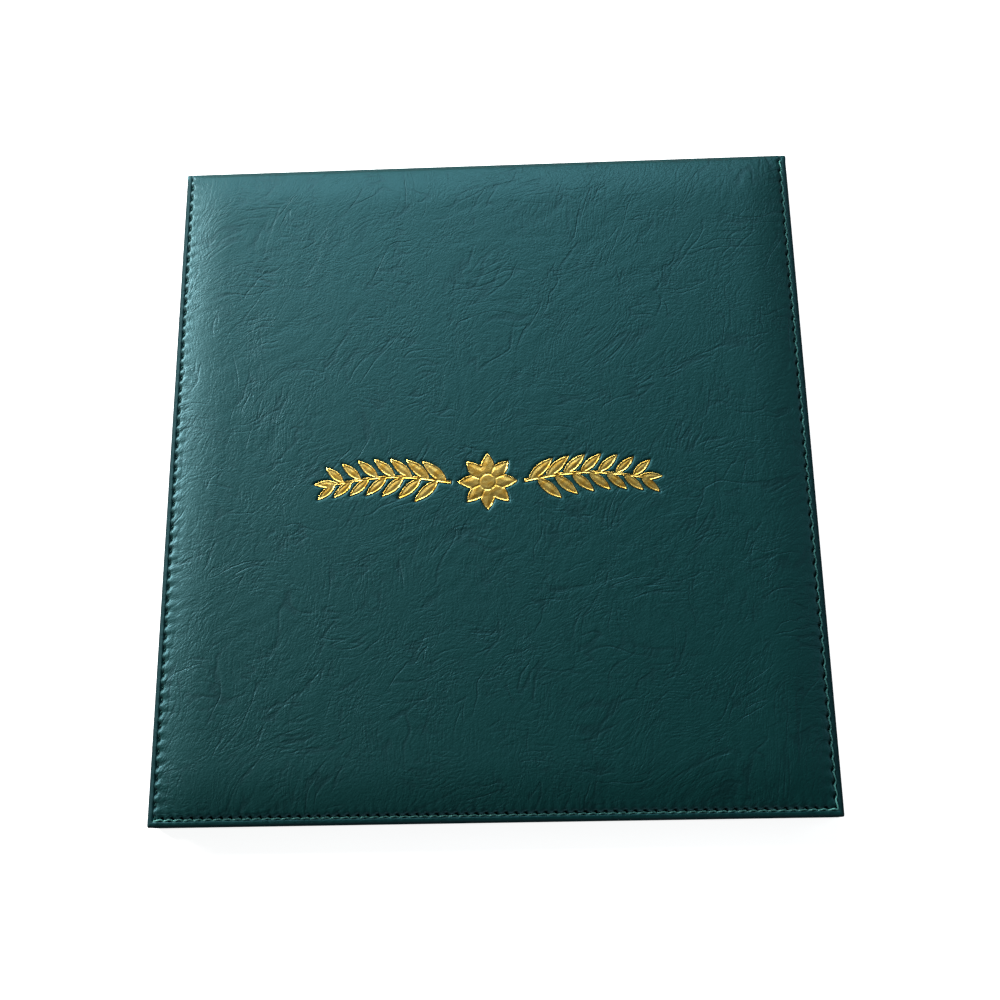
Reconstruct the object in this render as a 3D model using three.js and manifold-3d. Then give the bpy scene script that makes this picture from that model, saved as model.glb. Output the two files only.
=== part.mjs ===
// Diploma cover: a padded front panel and a flat back panel, joined by a spine strip along the top edge.
// Each panel is a board with a leatherette skin turned in on three sides, a fabric lining and a sewn seam.
// Millimetres. The cover lies closed on its back: +X to the right, +Y toward the fold, +Z up.

import * as THREE from "three";
import { mergeVertices } from "three/addons/utils/BufferGeometryUtils.js";
import Module from "manifold-3d";

const wasm = await Module();
wasm.setup();

// Outline of the closed cover
const coverWidth = 275;
const coverHeight = 292;

// Sheet goods
const leatheretteThickness = 1;
const boardThickness = 2;
const liningThickness = 0.4;
const linerThickness = 0.4;
const ribbonThickness = 0.2;
const ribbonWidth = 10;
const foilThickness = 0.2;

// Clearances
const glueLine = 0.1;
const hingeClearance = 0.3;
const threadClearance = 0.1;
const panelClearance = 0.2;

// Turned edges and lining
const edgeRadius = 1.2;
const edgeSteps = [0, 0.1, 0.4, 1];
const flangeWidth = 14;
const liningMargin = 2.5;
const boardFoldSetback = 2.7;
const ribbonReach = 58;

// Seam along the left, bottom and right edges
const seamInset = 2.8;
const seamFoldMargin = 1;
const sideStitchLength = 5.2;
const bottomStitchLength = 3.9;
const stitchWidth = 0.5;
const stitchHeight = 0.4;
const holeThreadShare = 0.45;
const bobbinHeight = 0.3;
const stitchSunk = 0.1;
const grooveSideGap = 0.1;
const grooveSlope = 0.6;

// Padded crown of the front
const crownHeight = 3.5;
const shoulderWidth = 20;
const puffShare = 0.3;
const padFoldMargin = 1.5;
const padClearance = 0.2;
const shoulderSteps = [0.12, 0.28, 0.48, 0.72, 1];

// Stamped ornament: two laurel sprigs that meet at a rosette
const ornamentSpan = 147;
const ornamentDrop = 7;
const rosetteRadius = 12.5;
const rosettePetals = 8;
const petalWidth = 6;
const rosetteHubRadius = 3.4;
const sprigGap = 3;
const sprigLeafPairs = 7;
const sprigBowHeight = 3;
const stemWidth = 1.2;
const leafLength = 14;
const leafWidth = 4.5;
const leafTaper = 0.3;
const leafBelly = 0.42;
const leafSpread = THREE.MathUtils.degToRad(42);
const firstLeafPair = 0.25;
const leafStagger = 0.5;
const tipLeafRoot = 0.94;
const leafCurveSegments = 8;
const stemSteps = 10;

// Roundness of the spine strip's two long edges
const spineEdgeSegments = 8;

// Sides of the closed cover, seen from the plane midway between the panels
const FRONT = 1;
const BACK = -1;

// Heights through a panel, outward from the plane midway between the panels
const bobbinCrest = panelClearance / 2;
const bobbinSeat = bobbinCrest + bobbinHeight;
const ribbonInner = bobbinSeat + threadClearance;
const ribbonOuter = ribbonInner + ribbonThickness;
const liningInner = ribbonOuter + glueLine;
const liningOuter = liningInner + liningThickness;
const flangeInner = liningOuter + glueLine;
const flangeOuter = flangeInner + leatheretteThickness;
const boardInner = flangeOuter + glueLine;
const boardOuter = boardInner + boardThickness;
const skinInner = boardOuter + glueLine;
const skinOuter = skinInner + leatheretteThickness;
const plateau = skinOuter + crownHeight;

// Places across the cover
const midPlane = skinOuter;
const halfWidth = coverWidth / 2;
const bottomEdge = -coverHeight / 2;
const foldEdge = coverHeight / 2;
const spineInnerFace = foldEdge - leatheretteThickness;
const linerInnerFace = spineInnerFace - glueLine - linerThickness;
const skinEnd = linerInnerFace - hingeClearance;
const seamEnd = skinEnd - seamFoldMargin;

// Seam groove and the foot of the crown, in from the outline
const grooveHalf = stitchWidth / 2 + grooveSideGap;
const grooveDepth = threadClearance + stitchHeight + stitchSunk;
const padInset = seamInset + grooveHalf;

// How far past a face a cutting solid runs
const cutOverrun = 5;

const materials = {
  leatherette: new THREE.MeshStandardMaterial({ color: 0x17474a, roughness: 0.5, metalness: 0 }),
  thread: new THREE.MeshStandardMaterial({ color: 0x2f7f78, roughness: 0.6, metalness: 0 }),
  foil: new THREE.MeshStandardMaterial({ color: 0xd4a534, roughness: 0.25, metalness: 1 }),
  board: new THREE.MeshStandardMaterial({ color: 0x8f8a7d, roughness: 0.9, metalness: 0 }),
  foam: new THREE.MeshStandardMaterial({ color: 0xe9e4d2, roughness: 0.9, metalness: 0 }),
  lining: new THREE.MeshStandardMaterial({ color: 0x1d5552, roughness: 0.45, metalness: 0 }),
  ribbon: new THREE.MeshStandardMaterial({ color: 0x2a6c67, roughness: 0.35, metalness: 0 }),
};

// Closed solid from loose corners and triangles, turned so that its faces point out
function solid(corners, triangles) {
  const points = corners.map((corner) => new THREE.Vector3(...corner));
  const normal = new THREE.Vector3();
  let sixfoldVolume = 0;
  for (const [a, b, c] of triangles) {
    sixfoldVolume += points[a].dot(normal.crossVectors(points[b], points[c]));
  }
  const facingOut = sixfoldVolume > 0 ? triangles : triangles.map(([a, b, c]) => [a, c, b]);
  const geometry = new THREE.BufferGeometry();
  geometry.setAttribute("position", new THREE.Float32BufferAttribute(corners.flat(), 3));
  geometry.setIndex(facingOut.flat());
  return geometry;
}

function toManifold(geometry) {
  const bare = geometry.clone();
  bare.deleteAttribute("normal");
  bare.deleteAttribute("uv");
  const merged = mergeVertices(bare);
  return new wasm.Manifold(new wasm.Mesh({
    numProp: 3,
    vertProperties: new Float32Array(merged.attributes.position.array),
    triVerts: new Uint32Array(merged.index.array),
  }));
}

function fromManifold(manifold) {
  const mesh = manifold.getMesh();
  const geometry = new THREE.BufferGeometry();
  geometry.setAttribute("position", new THREE.Float32BufferAttribute(mesh.vertProperties, 3));
  geometry.setIndex(Array.from(mesh.triVerts));
  return geometry;
}

// Grid lines at the given distances in from both ends of a span
function gridLines(low, high, fromLow, fromHigh = fromLow) {
  const lowLines = fromLow.map((distance) => low + distance);
  const highLines = fromHigh.map((distance) => high - distance);
  return [...lowLines, ...highLines.reverse()];
}

// Solid between an outer and an inner surface over a grid, both given as heights outward from the mid-plane
function layer(side, xs, ys, outer, inner) {
  const corners = [];
  for (const surface of [inner, outer]) {
    for (const y of ys) {
      for (const x of xs) {
        corners.push([x, y, side * surface(x, y)]);
      }
    }
  }
  const triangles = [];
  const addQuad = (a, b, c, d) => triangles.push([a, b, c], [a, c, d]);
  const row = xs.length;
  const lift = row * ys.length;
  const lastX = row - 1;
  const lastY = ys.length - 1;
  for (let j = 0; j < lastY; j += 1) {
    for (let i = 0; i < lastX; i += 1) {
      const at = j * row + i;
      addQuad(lift + at, lift + at + 1, lift + at + row + 1, lift + at + row);
      addQuad(at, at + row, at + row + 1, at + 1);
    }
  }
  for (let i = 0; i < lastX; i += 1) {
    const far = lastY * row + i;
    addQuad(i, i + 1, lift + i + 1, lift + i);
    addQuad(far + 1, far, lift + far, lift + far + 1);
  }
  for (let j = 0; j < lastY; j += 1) {
    const near = j * row;
    const far = near + lastX;
    addQuad(near + row, near, lift + near, lift + near + row);
    addQuad(far, far + row, lift + far + row, lift + far);
  }
  return solid(corners, triangles);
}

// Flat rectangular sheet
function sheet(side, left, right, bottom, top, outer, inner) {
  return layer(side, [left, right], [bottom, top], () => outer, () => inner);
}

// Flat plate of any outline, between two heights
function plate(outline, low, high) {
  const shape = outline instanceof THREE.Shape ? outline : new THREE.Shape(outline);
  const options = { depth: high - low, bevelEnabled: false, curveSegments: leafCurveSegments };
  return new THREE.ExtrudeGeometry(shape, options).translate(0, 0, low);
}

// Share of the crown's height at a distance inside its foot: a quick puff off the seam, then a long shoulder
function rise(distance) {
  if (distance <= 0) {
    return 0;
  }
  if (distance < grooveSlope) {
    return (puffShare * distance) / grooveSlope;
  }
  const reach = Math.min((distance - grooveSlope) / (shoulderWidth - grooveSlope), 1);
  return puffShare + (1 - puffShare) * (1 - (1 - reach) ** 2);
}

function crown(x, y, inset) {
  const fromSide = halfWidth - Math.abs(x) - padInset - inset;
  const fromBottom = y - bottomEdge - padInset - inset;
  const fromFold = skinEnd - y - padFoldMargin - inset;
  return crownHeight * rise(fromSide) * rise(Math.min(fromBottom, fromFold));
}

// Drop of the skin's outer face over the rounded outer edge
function edgeDrop(distance) {
  const short = Math.max(edgeRadius - distance, 0);
  return edgeRadius - Math.sqrt(edgeRadius ** 2 - short ** 2);
}

function grooveDrop(distance) {
  const offLine = Math.abs(distance - seamInset) - grooveHalf;
  const depthShare = 1 - offLine / grooveSlope;
  return grooveDepth * THREE.MathUtils.clamp(depthShare, 0, 1);
}

// Distances in from the foot of the crown at which its shoulder bends
function shoulderBends(foot) {
  const run = shoulderWidth - grooveSlope;
  return [foot, foot + grooveSlope, ...shoulderSteps.map((step) => foot + grooveSlope + step * run)];
}

// Leatherette skin: the outer face, three edges turned over the board, and the flange glued on its inner face
function makeSkin(side, padded) {
  const outer = (x, y) => {
    const fromEdge = Math.min(halfWidth - Math.abs(x), y - bottomEdge);
    return skinOuter + (padded ? crown(x, y, 0) : 0) - edgeDrop(fromEdge) - grooveDrop(fromEdge);
  };
  const under = (x, y) => skinInner + (padded ? crown(x, y, leatheretteThickness) : 0);
  const edgeBends = edgeSteps.map((step) => step * edgeRadius);
  const grooveBends = [seamInset - grooveHalf - grooveSlope, seamInset - grooveHalf];
  const innerBends = padded ? shoulderBends(padInset) : [padInset, padInset + grooveSlope];
  const seamBends = [...edgeBends, ...grooveBends, ...innerBends];
  const foldBends = padded ? [0, ...shoulderBends(padFoldMargin)] : [0];
  const body = layer(
    side,
    gridLines(-halfWidth, halfWidth, seamBends),
    gridLines(bottomEdge, skinEnd, seamBends, foldBends),
    outer,
    () => flangeInner,
  );
  const wall = leatheretteThickness;
  const underBends = padded ? [wall, ...shoulderBends(padInset + wall)] : [wall];
  const underFoldBends = padded ? [-cutOverrun, ...shoulderBends(padFoldMargin + wall)] : [-cutOverrun];
  const pocket = layer(
    side,
    gridLines(-halfWidth, halfWidth, underBends),
    gridLines(bottomEdge, skinEnd, underBends, underFoldBends),
    under,
    () => flangeOuter,
  );
  const windowHalf = halfWidth - flangeWidth;
  const windowBottom = bottomEdge + flangeWidth;
  const windowTop = skinEnd + cutOverrun;
  const window = sheet(side, -windowHalf, windowHalf, windowBottom, windowTop, boardInner, 0);
  return fromManifold(toManifold(body).subtract(toManifold(pocket)).subtract(toManifold(window)));
}

function makeBoard(side) {
  const inset = leatheretteThickness + glueLine;
  const half = halfWidth - inset;
  return sheet(side, -half, half, bottomEdge + inset, skinEnd - boardFoldSetback, boardOuter, boardInner);
}

function makeLining(side) {
  const half = halfWidth - liningMargin;
  return sheet(side, -half, half, bottomEdge + liningMargin, skinEnd, liningOuter, liningInner);
}

// Foam pad under the crown: it lies on the board and fills the skin's hollow
function makeFoamPad() {
  const inset = leatheretteThickness + padClearance;
  const sideBends = shoulderBends(padInset + inset).slice(1);
  const foldBends = shoulderBends(padFoldMargin + inset).slice(1);
  return layer(
    FRONT,
    gridLines(-halfWidth, halfWidth, sideBends),
    gridLines(bottomEdge, skinEnd, sideBends, foldBends),
    (x, y) => skinInner + crown(x, y, inset) - glueLine,
    () => skinInner,
  );
}

// Corners of the seam's line, from the fold down the left side, along the bottom and up the right side
const seamCorners = [
  new THREE.Vector2(-halfWidth + seamInset, seamEnd),
  new THREE.Vector2(-halfWidth + seamInset, bottomEdge + seamInset),
  new THREE.Vector2(halfWidth - seamInset, bottomEdge + seamInset),
  new THREE.Vector2(halfWidth - seamInset, seamEnd),
];

// Points along the seam, with the share of a stitch's full section at each: low at the holes, full between them
function seamStations(stitchLengths) {
  const stations = [];
  for (let run = 0; run < stitchLengths.length; run += 1) {
    const [start, end] = [seamCorners[run], seamCorners[run + 1]];
    const stitches = Math.round(start.distanceTo(end) / stitchLengths[run]);
    for (let half = 0; half < 2 * stitches; half += 1) {
      const fullness = half % 2 === 0 ? holeThreadShare : 1;
      stations.push({ at: start.clone().lerp(end, half / (2 * stitches)), fullness });
    }
  }
  stations.push({ at: seamCorners[stitchLengths.length], fullness: holeThreadShare });
  return stations;
}

// Thread along the given stations: a three-sided bead with its flat side on the seat
function makeThread(side, stations, width, seat, height) {
  const corners = [];
  stations.forEach(({ at, fullness }, index) => {
    const before = stations[Math.max(index - 1, 0)].at;
    const after = stations[Math.min(index + 1, stations.length - 1)].at;
    const along = after.clone().sub(before).normalize();
    const aside = new THREE.Vector2(-along.y, along.x).multiplyScalar((width / 2) * fullness);
    corners.push([at.x - aside.x, at.y - aside.y, side * seat]);
    corners.push([at.x + aside.x, at.y + aside.y, side * seat]);
    corners.push([at.x, at.y, side * (seat + height * fullness)]);
  });
  const triangles = [[0, 1, 2]];
  for (let ring = 3; ring < corners.length; ring += 3) {
    for (let corner = 0; corner < 3; corner += 1) {
      const next = (corner + 1) % 3;
      triangles.push([ring - 3 + corner, ring + corner, ring + next]);
      triangles.push([ring - 3 + corner, ring + next, ring - 3 + next]);
    }
  }
  const last = corners.length - 3;
  triangles.push([last, last + 2, last + 1]);
  return solid(corners, triangles);
}

function makeNeedleThread(side) {
  const stations = seamStations([sideStitchLength, bottomStitchLength, sideStitchLength]);
  return makeThread(side, stations, stitchWidth, skinOuter - grooveDepth + threadClearance, stitchHeight);
}

function makeBobbinThread(side) {
  const stations = seamCorners.map((corner) => ({ at: corner, fullness: 1 }));
  return makeThread(side, stations, stitchWidth, bobbinSeat, -bobbinHeight);
}

// Ribbon across one corner of the lower inner panel, from one edge of the lining to the other
function makeRibbon(right, up) {
  const liningHalf = halfWidth - liningMargin;
  const edgeX = right * liningHalf;
  const edgeY = up > 0 ? skinEnd : bottomEdge + liningMargin;
  const far = ribbonReach + ribbonWidth * Math.SQRT2;
  const outline = [
    new THREE.Vector2(edgeX, edgeY - up * ribbonReach),
    new THREE.Vector2(edgeX, edgeY - up * far),
    new THREE.Vector2(edgeX - right * far, edgeY),
    new THREE.Vector2(edgeX - right * ribbonReach, edgeY),
  ];
  return plate(outline, BACK * ribbonOuter, BACK * ribbonInner);
}

// Upright strip along the cover from outlines drawn in the plane of y and z
function alongWidth(shape, half) {
  const toWidth = new THREE.Matrix4().makeBasis(
    new THREE.Vector3(0, 1, 0),
    new THREE.Vector3(0, 0, 1),
    new THREE.Vector3(1, 0, 0),
  );
  const options = { depth: 2 * half, bevelEnabled: false, curveSegments: spineEdgeSegments };
  return new THREE.ExtrudeGeometry(shape, options).translate(0, 0, -half).applyMatrix4(toWidth);
}

// Spine strip: its two long edges are round about the fold lines
function makeSpine() {
  const radius = leatheretteThickness / 2;
  const foldLine = foldEdge - radius;
  const foldHeight = skinOuter - radius;
  const outline = new THREE.Shape();
  outline.absarc(foldLine, foldHeight, radius, 0, Math.PI, false);
  outline.absarc(foldLine, -foldHeight, radius, Math.PI, 2 * Math.PI, false);
  return alongWidth(outline, halfWidth);
}

function makeSpineLiner() {
  const reach = skinInner - hingeClearance;
  const near = linerInnerFace;
  const far = linerInnerFace + linerThickness;
  const outline = new THREE.Shape([
    new THREE.Vector2(near, -reach),
    new THREE.Vector2(far, -reach),
    new THREE.Vector2(far, reach),
    new THREE.Vector2(near, reach),
  ]);
  return alongWidth(outline, halfWidth - liningMargin);
}

// Pointed leaf with its root at the origin, along +X
function leafOutline(length, width) {
  const leaf = new THREE.Shape();
  leaf.moveTo(0, 0);
  leaf.quadraticCurveTo(length * leafBelly, -width, length, 0);
  leaf.quadraticCurveTo(length * leafBelly, width, 0, 0);
  return leaf;
}

const foilLow = plateau + glueLine;
const foilHigh = foilLow + foilThickness;

function joined(solids) {
  const [first, ...others] = solids.map(toManifold);
  return fromManifold(others.reduce((whole, other) => whole.add(other), first));
}

function makeRosette() {
  const petals = [];
  for (let petal = 0; petal < rosettePetals; petal += 1) {
    const turn = (petal / rosettePetals) * 2 * Math.PI;
    petals.push(plate(leafOutline(rosetteRadius, petalWidth), foilLow, foilHigh).rotateZ(turn));
  }
  const hub = new THREE.Shape();
  hub.absarc(0, 0, rosetteHubRadius, 0, 2 * Math.PI, false);
  return joined([...petals, plate(hub, foilLow, foilHigh)]);
}

// Laurel sprig from the rosette outward: a bowed stem, leaf pairs that shorten along it, and a leaf at its tip
function makeSprig(direction) {
  const start = rosetteRadius + sprigGap;
  const tipLeaf = leafLength * (1 - leafTaper * tipLeafRoot);
  const reach = (ornamentSpan / 2 - start - tipLeaf) / tipLeafRoot;
  const stemPoint = (share) => {
    const x = direction * (start + share * reach);
    return new THREE.Vector2(x, sprigBowHeight * Math.sin(share * Math.PI));
  };
  const upper = [];
  const lower = [];
  for (let step = 0; step <= stemSteps; step += 1) {
    const share = step / stemSteps;
    const half = (stemWidth / 2) * (1 - leafTaper * share);
    const { x, y } = stemPoint(share);
    upper.push(new THREE.Vector2(x, y + half));
    lower.push(new THREE.Vector2(x, y - half));
  }
  const pieces = [plate([...upper, ...lower.reverse()], foilLow, foilHigh)];
  const addLeaf = (share, spread) => {
    const size = 1 - leafTaper * share;
    const root = stemPoint(share);
    const turn = direction > 0 ? spread : Math.PI - spread;
    const leaf = plate(leafOutline(leafLength * size, leafWidth * size), foilLow, foilHigh);
    pieces.push(leaf.rotateZ(turn).translate(root.x, root.y, 0));
  };
  for (let pair = 0; pair < sprigLeafPairs; pair += 1) {
    addLeaf((pair + firstLeafPair) / sprigLeafPairs, leafSpread);
    addLeaf((pair + firstLeafPair + leafStagger) / sprigLeafPairs, -leafSpread);
  }
  addLeaf(tipLeafRoot, 0);
  return joined(pieces);
}

function addPiece(group, name, geometry, material) {
  const flat = geometry.index ? geometry.toNonIndexed() : geometry;
  flat.computeVertexNormals();
  const mesh = new THREE.Mesh(flat, material);
  mesh.name = name;
  group.add(mesh);
}

function makePanel(side, word) {
  const panel = new THREE.Group();
  const padded = side === FRONT;
  addPiece(panel, `${word}_leatherette`, makeSkin(side, padded), materials.leatherette);
  addPiece(panel, `${word}_board`, makeBoard(side), materials.board);
  addPiece(panel, `${word}_lining`, makeLining(side), materials.lining);
  addPiece(panel, `${word}_needle_thread`, makeNeedleThread(side), materials.thread);
  addPiece(panel, `${word}_bobbin_thread`, makeBobbinThread(side), materials.thread);
  return panel;
}

function makeFront() {
  const front = makePanel(FRONT, "front");
  addPiece(front, "front_foam_pad", makeFoamPad(), materials.foam);
  const ornament = new THREE.Group();
  ornament.position.y = -ornamentDrop;
  addPiece(ornament, "foil_left_sprig", makeSprig(-1), materials.foil);
  addPiece(ornament, "foil_rosette", makeRosette(), materials.foil);
  addPiece(ornament, "foil_right_sprig", makeSprig(1), materials.foil);
  front.add(ornament);
  return front;
}

function makeBack() {
  const back = makePanel(BACK, "back");
  addPiece(back, "ribbon_bottom_left", makeRibbon(-1, -1), materials.ribbon);
  addPiece(back, "ribbon_bottom_right", makeRibbon(1, -1), materials.ribbon);
  addPiece(back, "ribbon_fold_left", makeRibbon(-1, 1), materials.ribbon);
  addPiece(back, "ribbon_fold_right", makeRibbon(1, 1), materials.ribbon);
  return back;
}

function makeSpineGroup() {
  const spine = new THREE.Group();
  addPiece(spine, "spine_leatherette", makeSpine(), materials.leatherette);
  addPiece(spine, "spine_liner", makeSpineLiner(), materials.lining);
  return spine;
}

const cover = new THREE.Group();
cover.add(makeBack(), makeSpineGroup(), makeFront());
cover.position.z = midPlane;

export default cover;
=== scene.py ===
"""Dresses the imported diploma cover: skins, seams, foil stamps, ribbons, finishes, camera and light.

Metres throughout, in the part's own frame: +X right, +Y toward the fold, +Z up.
"""

import logging
import math
from dataclasses import dataclass, field
from enum import Enum
from typing import Iterable, Optional, Sequence

import bpy
import numpy as np
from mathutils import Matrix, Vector
from mathutils.bvhtree import BVHTree
from mathutils.geometry import delaunay_2d_cdt

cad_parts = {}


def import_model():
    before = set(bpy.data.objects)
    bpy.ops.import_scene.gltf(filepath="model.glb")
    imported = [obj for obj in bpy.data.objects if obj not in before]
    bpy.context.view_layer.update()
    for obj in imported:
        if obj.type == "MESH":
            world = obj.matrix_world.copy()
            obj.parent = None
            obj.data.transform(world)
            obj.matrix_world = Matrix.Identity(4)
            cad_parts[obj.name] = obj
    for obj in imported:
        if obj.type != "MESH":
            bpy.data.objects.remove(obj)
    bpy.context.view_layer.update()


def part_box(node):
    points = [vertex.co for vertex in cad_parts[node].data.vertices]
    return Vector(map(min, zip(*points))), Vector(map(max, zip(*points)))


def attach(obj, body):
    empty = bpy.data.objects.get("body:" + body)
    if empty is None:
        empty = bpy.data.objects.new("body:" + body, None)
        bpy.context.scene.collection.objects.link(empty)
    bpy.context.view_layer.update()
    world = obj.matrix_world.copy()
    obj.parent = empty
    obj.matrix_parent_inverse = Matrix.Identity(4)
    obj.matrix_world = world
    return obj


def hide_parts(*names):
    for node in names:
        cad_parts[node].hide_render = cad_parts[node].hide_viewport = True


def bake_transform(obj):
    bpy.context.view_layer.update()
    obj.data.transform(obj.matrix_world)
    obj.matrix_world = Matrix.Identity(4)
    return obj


log = logging.getLogger("diploma_cover")

MM = 0.001

Array = np.ndarray
Rgb = tuple[float, float, float]


class Side(Enum):
    """Outward direction of a panel along Z."""

    FRONT = 1
    BACK = -1

    @property
    def word(self) -> str:
        """Name prefix of the panel's pieces."""
        return self.name.lower()


def smoothstep(low: float, high: float, value: Array) -> Array:
    """Smooth ramp.

    Args:
        low: Value at which the ramp is 0.
        high: Value at which the ramp is 1.
        value: Numbers to place on the ramp.

    Returns:
        The ramp at each number.
    """
    share = np.clip((value - low) / (high - low), 0.0, 1.0)
    return share * share * (3.0 - 2.0 * share)


def gradient_noise(x: Array, y: Array, seed: int) -> Array:
    """Smooth two-dimensional noise with cells of one unit, from about -0.7 to 0.7.

    Args:
        x: First coordinate, in cells.
        y: Second coordinate, in cells.
        seed: Number that picks the pattern.

    Returns:
        The noise at each point.
    """
    angles = np.random.default_rng(seed).uniform(0.0, 2.0 * math.pi, (256, 256))
    cell_x = np.floor(x).astype(int)
    cell_y = np.floor(y).astype(int)
    part_x = x - cell_x
    part_y = y - cell_y

    def corner(step_x: int, step_y: int) -> Array:
        angle = angles[(cell_x + step_x) % 256, (cell_y + step_y) % 256]
        return np.cos(angle) * (part_x - step_x) + np.sin(angle) * (part_y - step_y)

    ease_x = smoothstep(0.0, 1.0, part_x)
    ease_y = smoothstep(0.0, 1.0, part_y)
    low = corner(0, 0) * (1.0 - ease_x) + corner(1, 0) * ease_x
    high = corner(0, 1) * (1.0 - ease_x) + corner(1, 1) * ease_x
    return low * (1.0 - ease_y) + high * ease_y


def make_object(
    name: str,
    vertices: Array,
    faces: Sequence[Sequence[int]],
    uv: Optional[Array] = None,
    shade: Optional[Array] = None,
) -> bpy.types.Object:
    """Makes a smooth-shaded mesh object.

    Args:
        name: Object name.
        vertices: Points, one row each.
        faces: Vertex numbers of each face.
        uv: Texture place of each vertex, if the finish needs one.
        shade: Painted shade of each vertex from 0 to 1, if the finish needs one.

    Returns:
        The new object, linked to the scene.
    """
    mesh = bpy.data.meshes.new(name)
    mesh.from_pydata(vertices.tolist(), [], faces)
    mesh.validate()
    if uv is not None:
        layer = mesh.uv_layers.new(name="surface")
        loops = np.empty(len(mesh.loops), int)
        mesh.loops.foreach_get("vertex_index", loops)
        layer.data.foreach_set("uv", uv[loops].astype(np.float32).ravel())
    # The painted shade goes to the finish as a vertex attribute.
    if shade is not None:
        attribute = mesh.attributes.new("shade", "FLOAT", "POINT")
        attribute.data.foreach_set("value", shade.astype(np.float32))
    mesh.polygons.foreach_set("use_smooth", [True] * len(mesh.polygons))
    mesh.update()
    made = bpy.data.objects.new(name, mesh)
    bpy.context.scene.collection.objects.link(made)
    return made


def strip_faces(rows: int, columns: int, closed: bool, flip: bool) -> list[tuple[int, ...]]:
    """Quads over a grid of vertices numbered row by row.

    Args:
        rows: Number of rows.
        columns: Vertices in each row.
        closed: Whether each row closes on itself.
        flip: Whether the faces turn the other way.

    Returns:
        The faces.
    """
    faces = []
    for row in range(rows - 1):
        for column in range(columns if closed else columns - 1):
            after = (column + 1) % columns
            near, far = row * columns, (row + 1) * columns
            quad = (near + column, near + after, far + after, far + column)
            faces.append(quad[::-1] if flip else quad)
    return faces


@dataclass(frozen=True)
class CoverSizes:
    """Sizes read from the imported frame."""

    half_width: float
    bottom: float
    fold: float
    top: float
    skin_end: float
    plateau: float
    flange: float
    seam_x: float
    seam_y: float
    seam_end: float
    sheet: float
    fold_fade: float = 2 * MM

    @classmethod
    def read(cls) -> "CoverSizes":
        """Reads the sizes from the CAD nodes.

        Returns:
            The sizes.
        """
        spine_low, spine_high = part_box("spine_leatherette")
        skin_low, skin_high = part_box("front_leatherette")
        thread_low, thread_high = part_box("front_needle_thread")
        bead = Stitching.width / 2
        return cls(
            half_width=spine_high.x,
            bottom=skin_low.y,
            fold=spine_high.y,
            top=spine_high.z,
            skin_end=skin_high.y,
            plateau=skin_high.z,
            flange=spine_high.z - skin_low.z,
            seam_x=thread_high.x - bead,
            seam_y=thread_low.y + bead,
            seam_end=thread_high.y,
            sheet=spine_high.y - spine_low.y,
        )

    @property
    def middle(self) -> float:
        """Height midway between the panels."""
        return self.top / 2

    def on_panel(self, distance: Array) -> Array:
        """Share of the panel's relief that is left near the fold.

        Args:
            distance: Distance values along the fold path.

        Returns:
            Shares, 1 on the panel and 0 from the fold on.
        """
        return 1.0 - smoothstep(self.skin_end - self.fold_fade, self.skin_end, distance)


@dataclass(frozen=True)
class SeamRun:
    """One straight run of the seam, with its stitches."""

    start: Vector
    end: Vector
    inward: Vector
    pitch_wanted: float
    lap: float
    sink: float
    swing: float

    @property
    def length(self) -> float:
        """Length of the run."""
        return (self.end - self.start).length

    @property
    def stitches(self) -> int:
        """Whole stitches along the run."""
        return round(self.length / self.pitch_wanted)

    @property
    def pitch(self) -> float:
        """Length of one stitch."""
        return self.length / self.stitches

    def local(self, x: Array, y: Array) -> tuple[Array, Array]:
        """Places points in the run's own frame.

        Args:
            x: First coordinates.
            y: Second coordinates.

        Returns:
            Distance along the run, and distance inward of it.
        """
        along = (self.end - self.start).normalized()
        off_x, off_y = x - self.start.x, y - self.start.y
        return off_x * along.x + off_y * along.y, off_x * self.inward.x + off_y * self.inward.y


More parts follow.
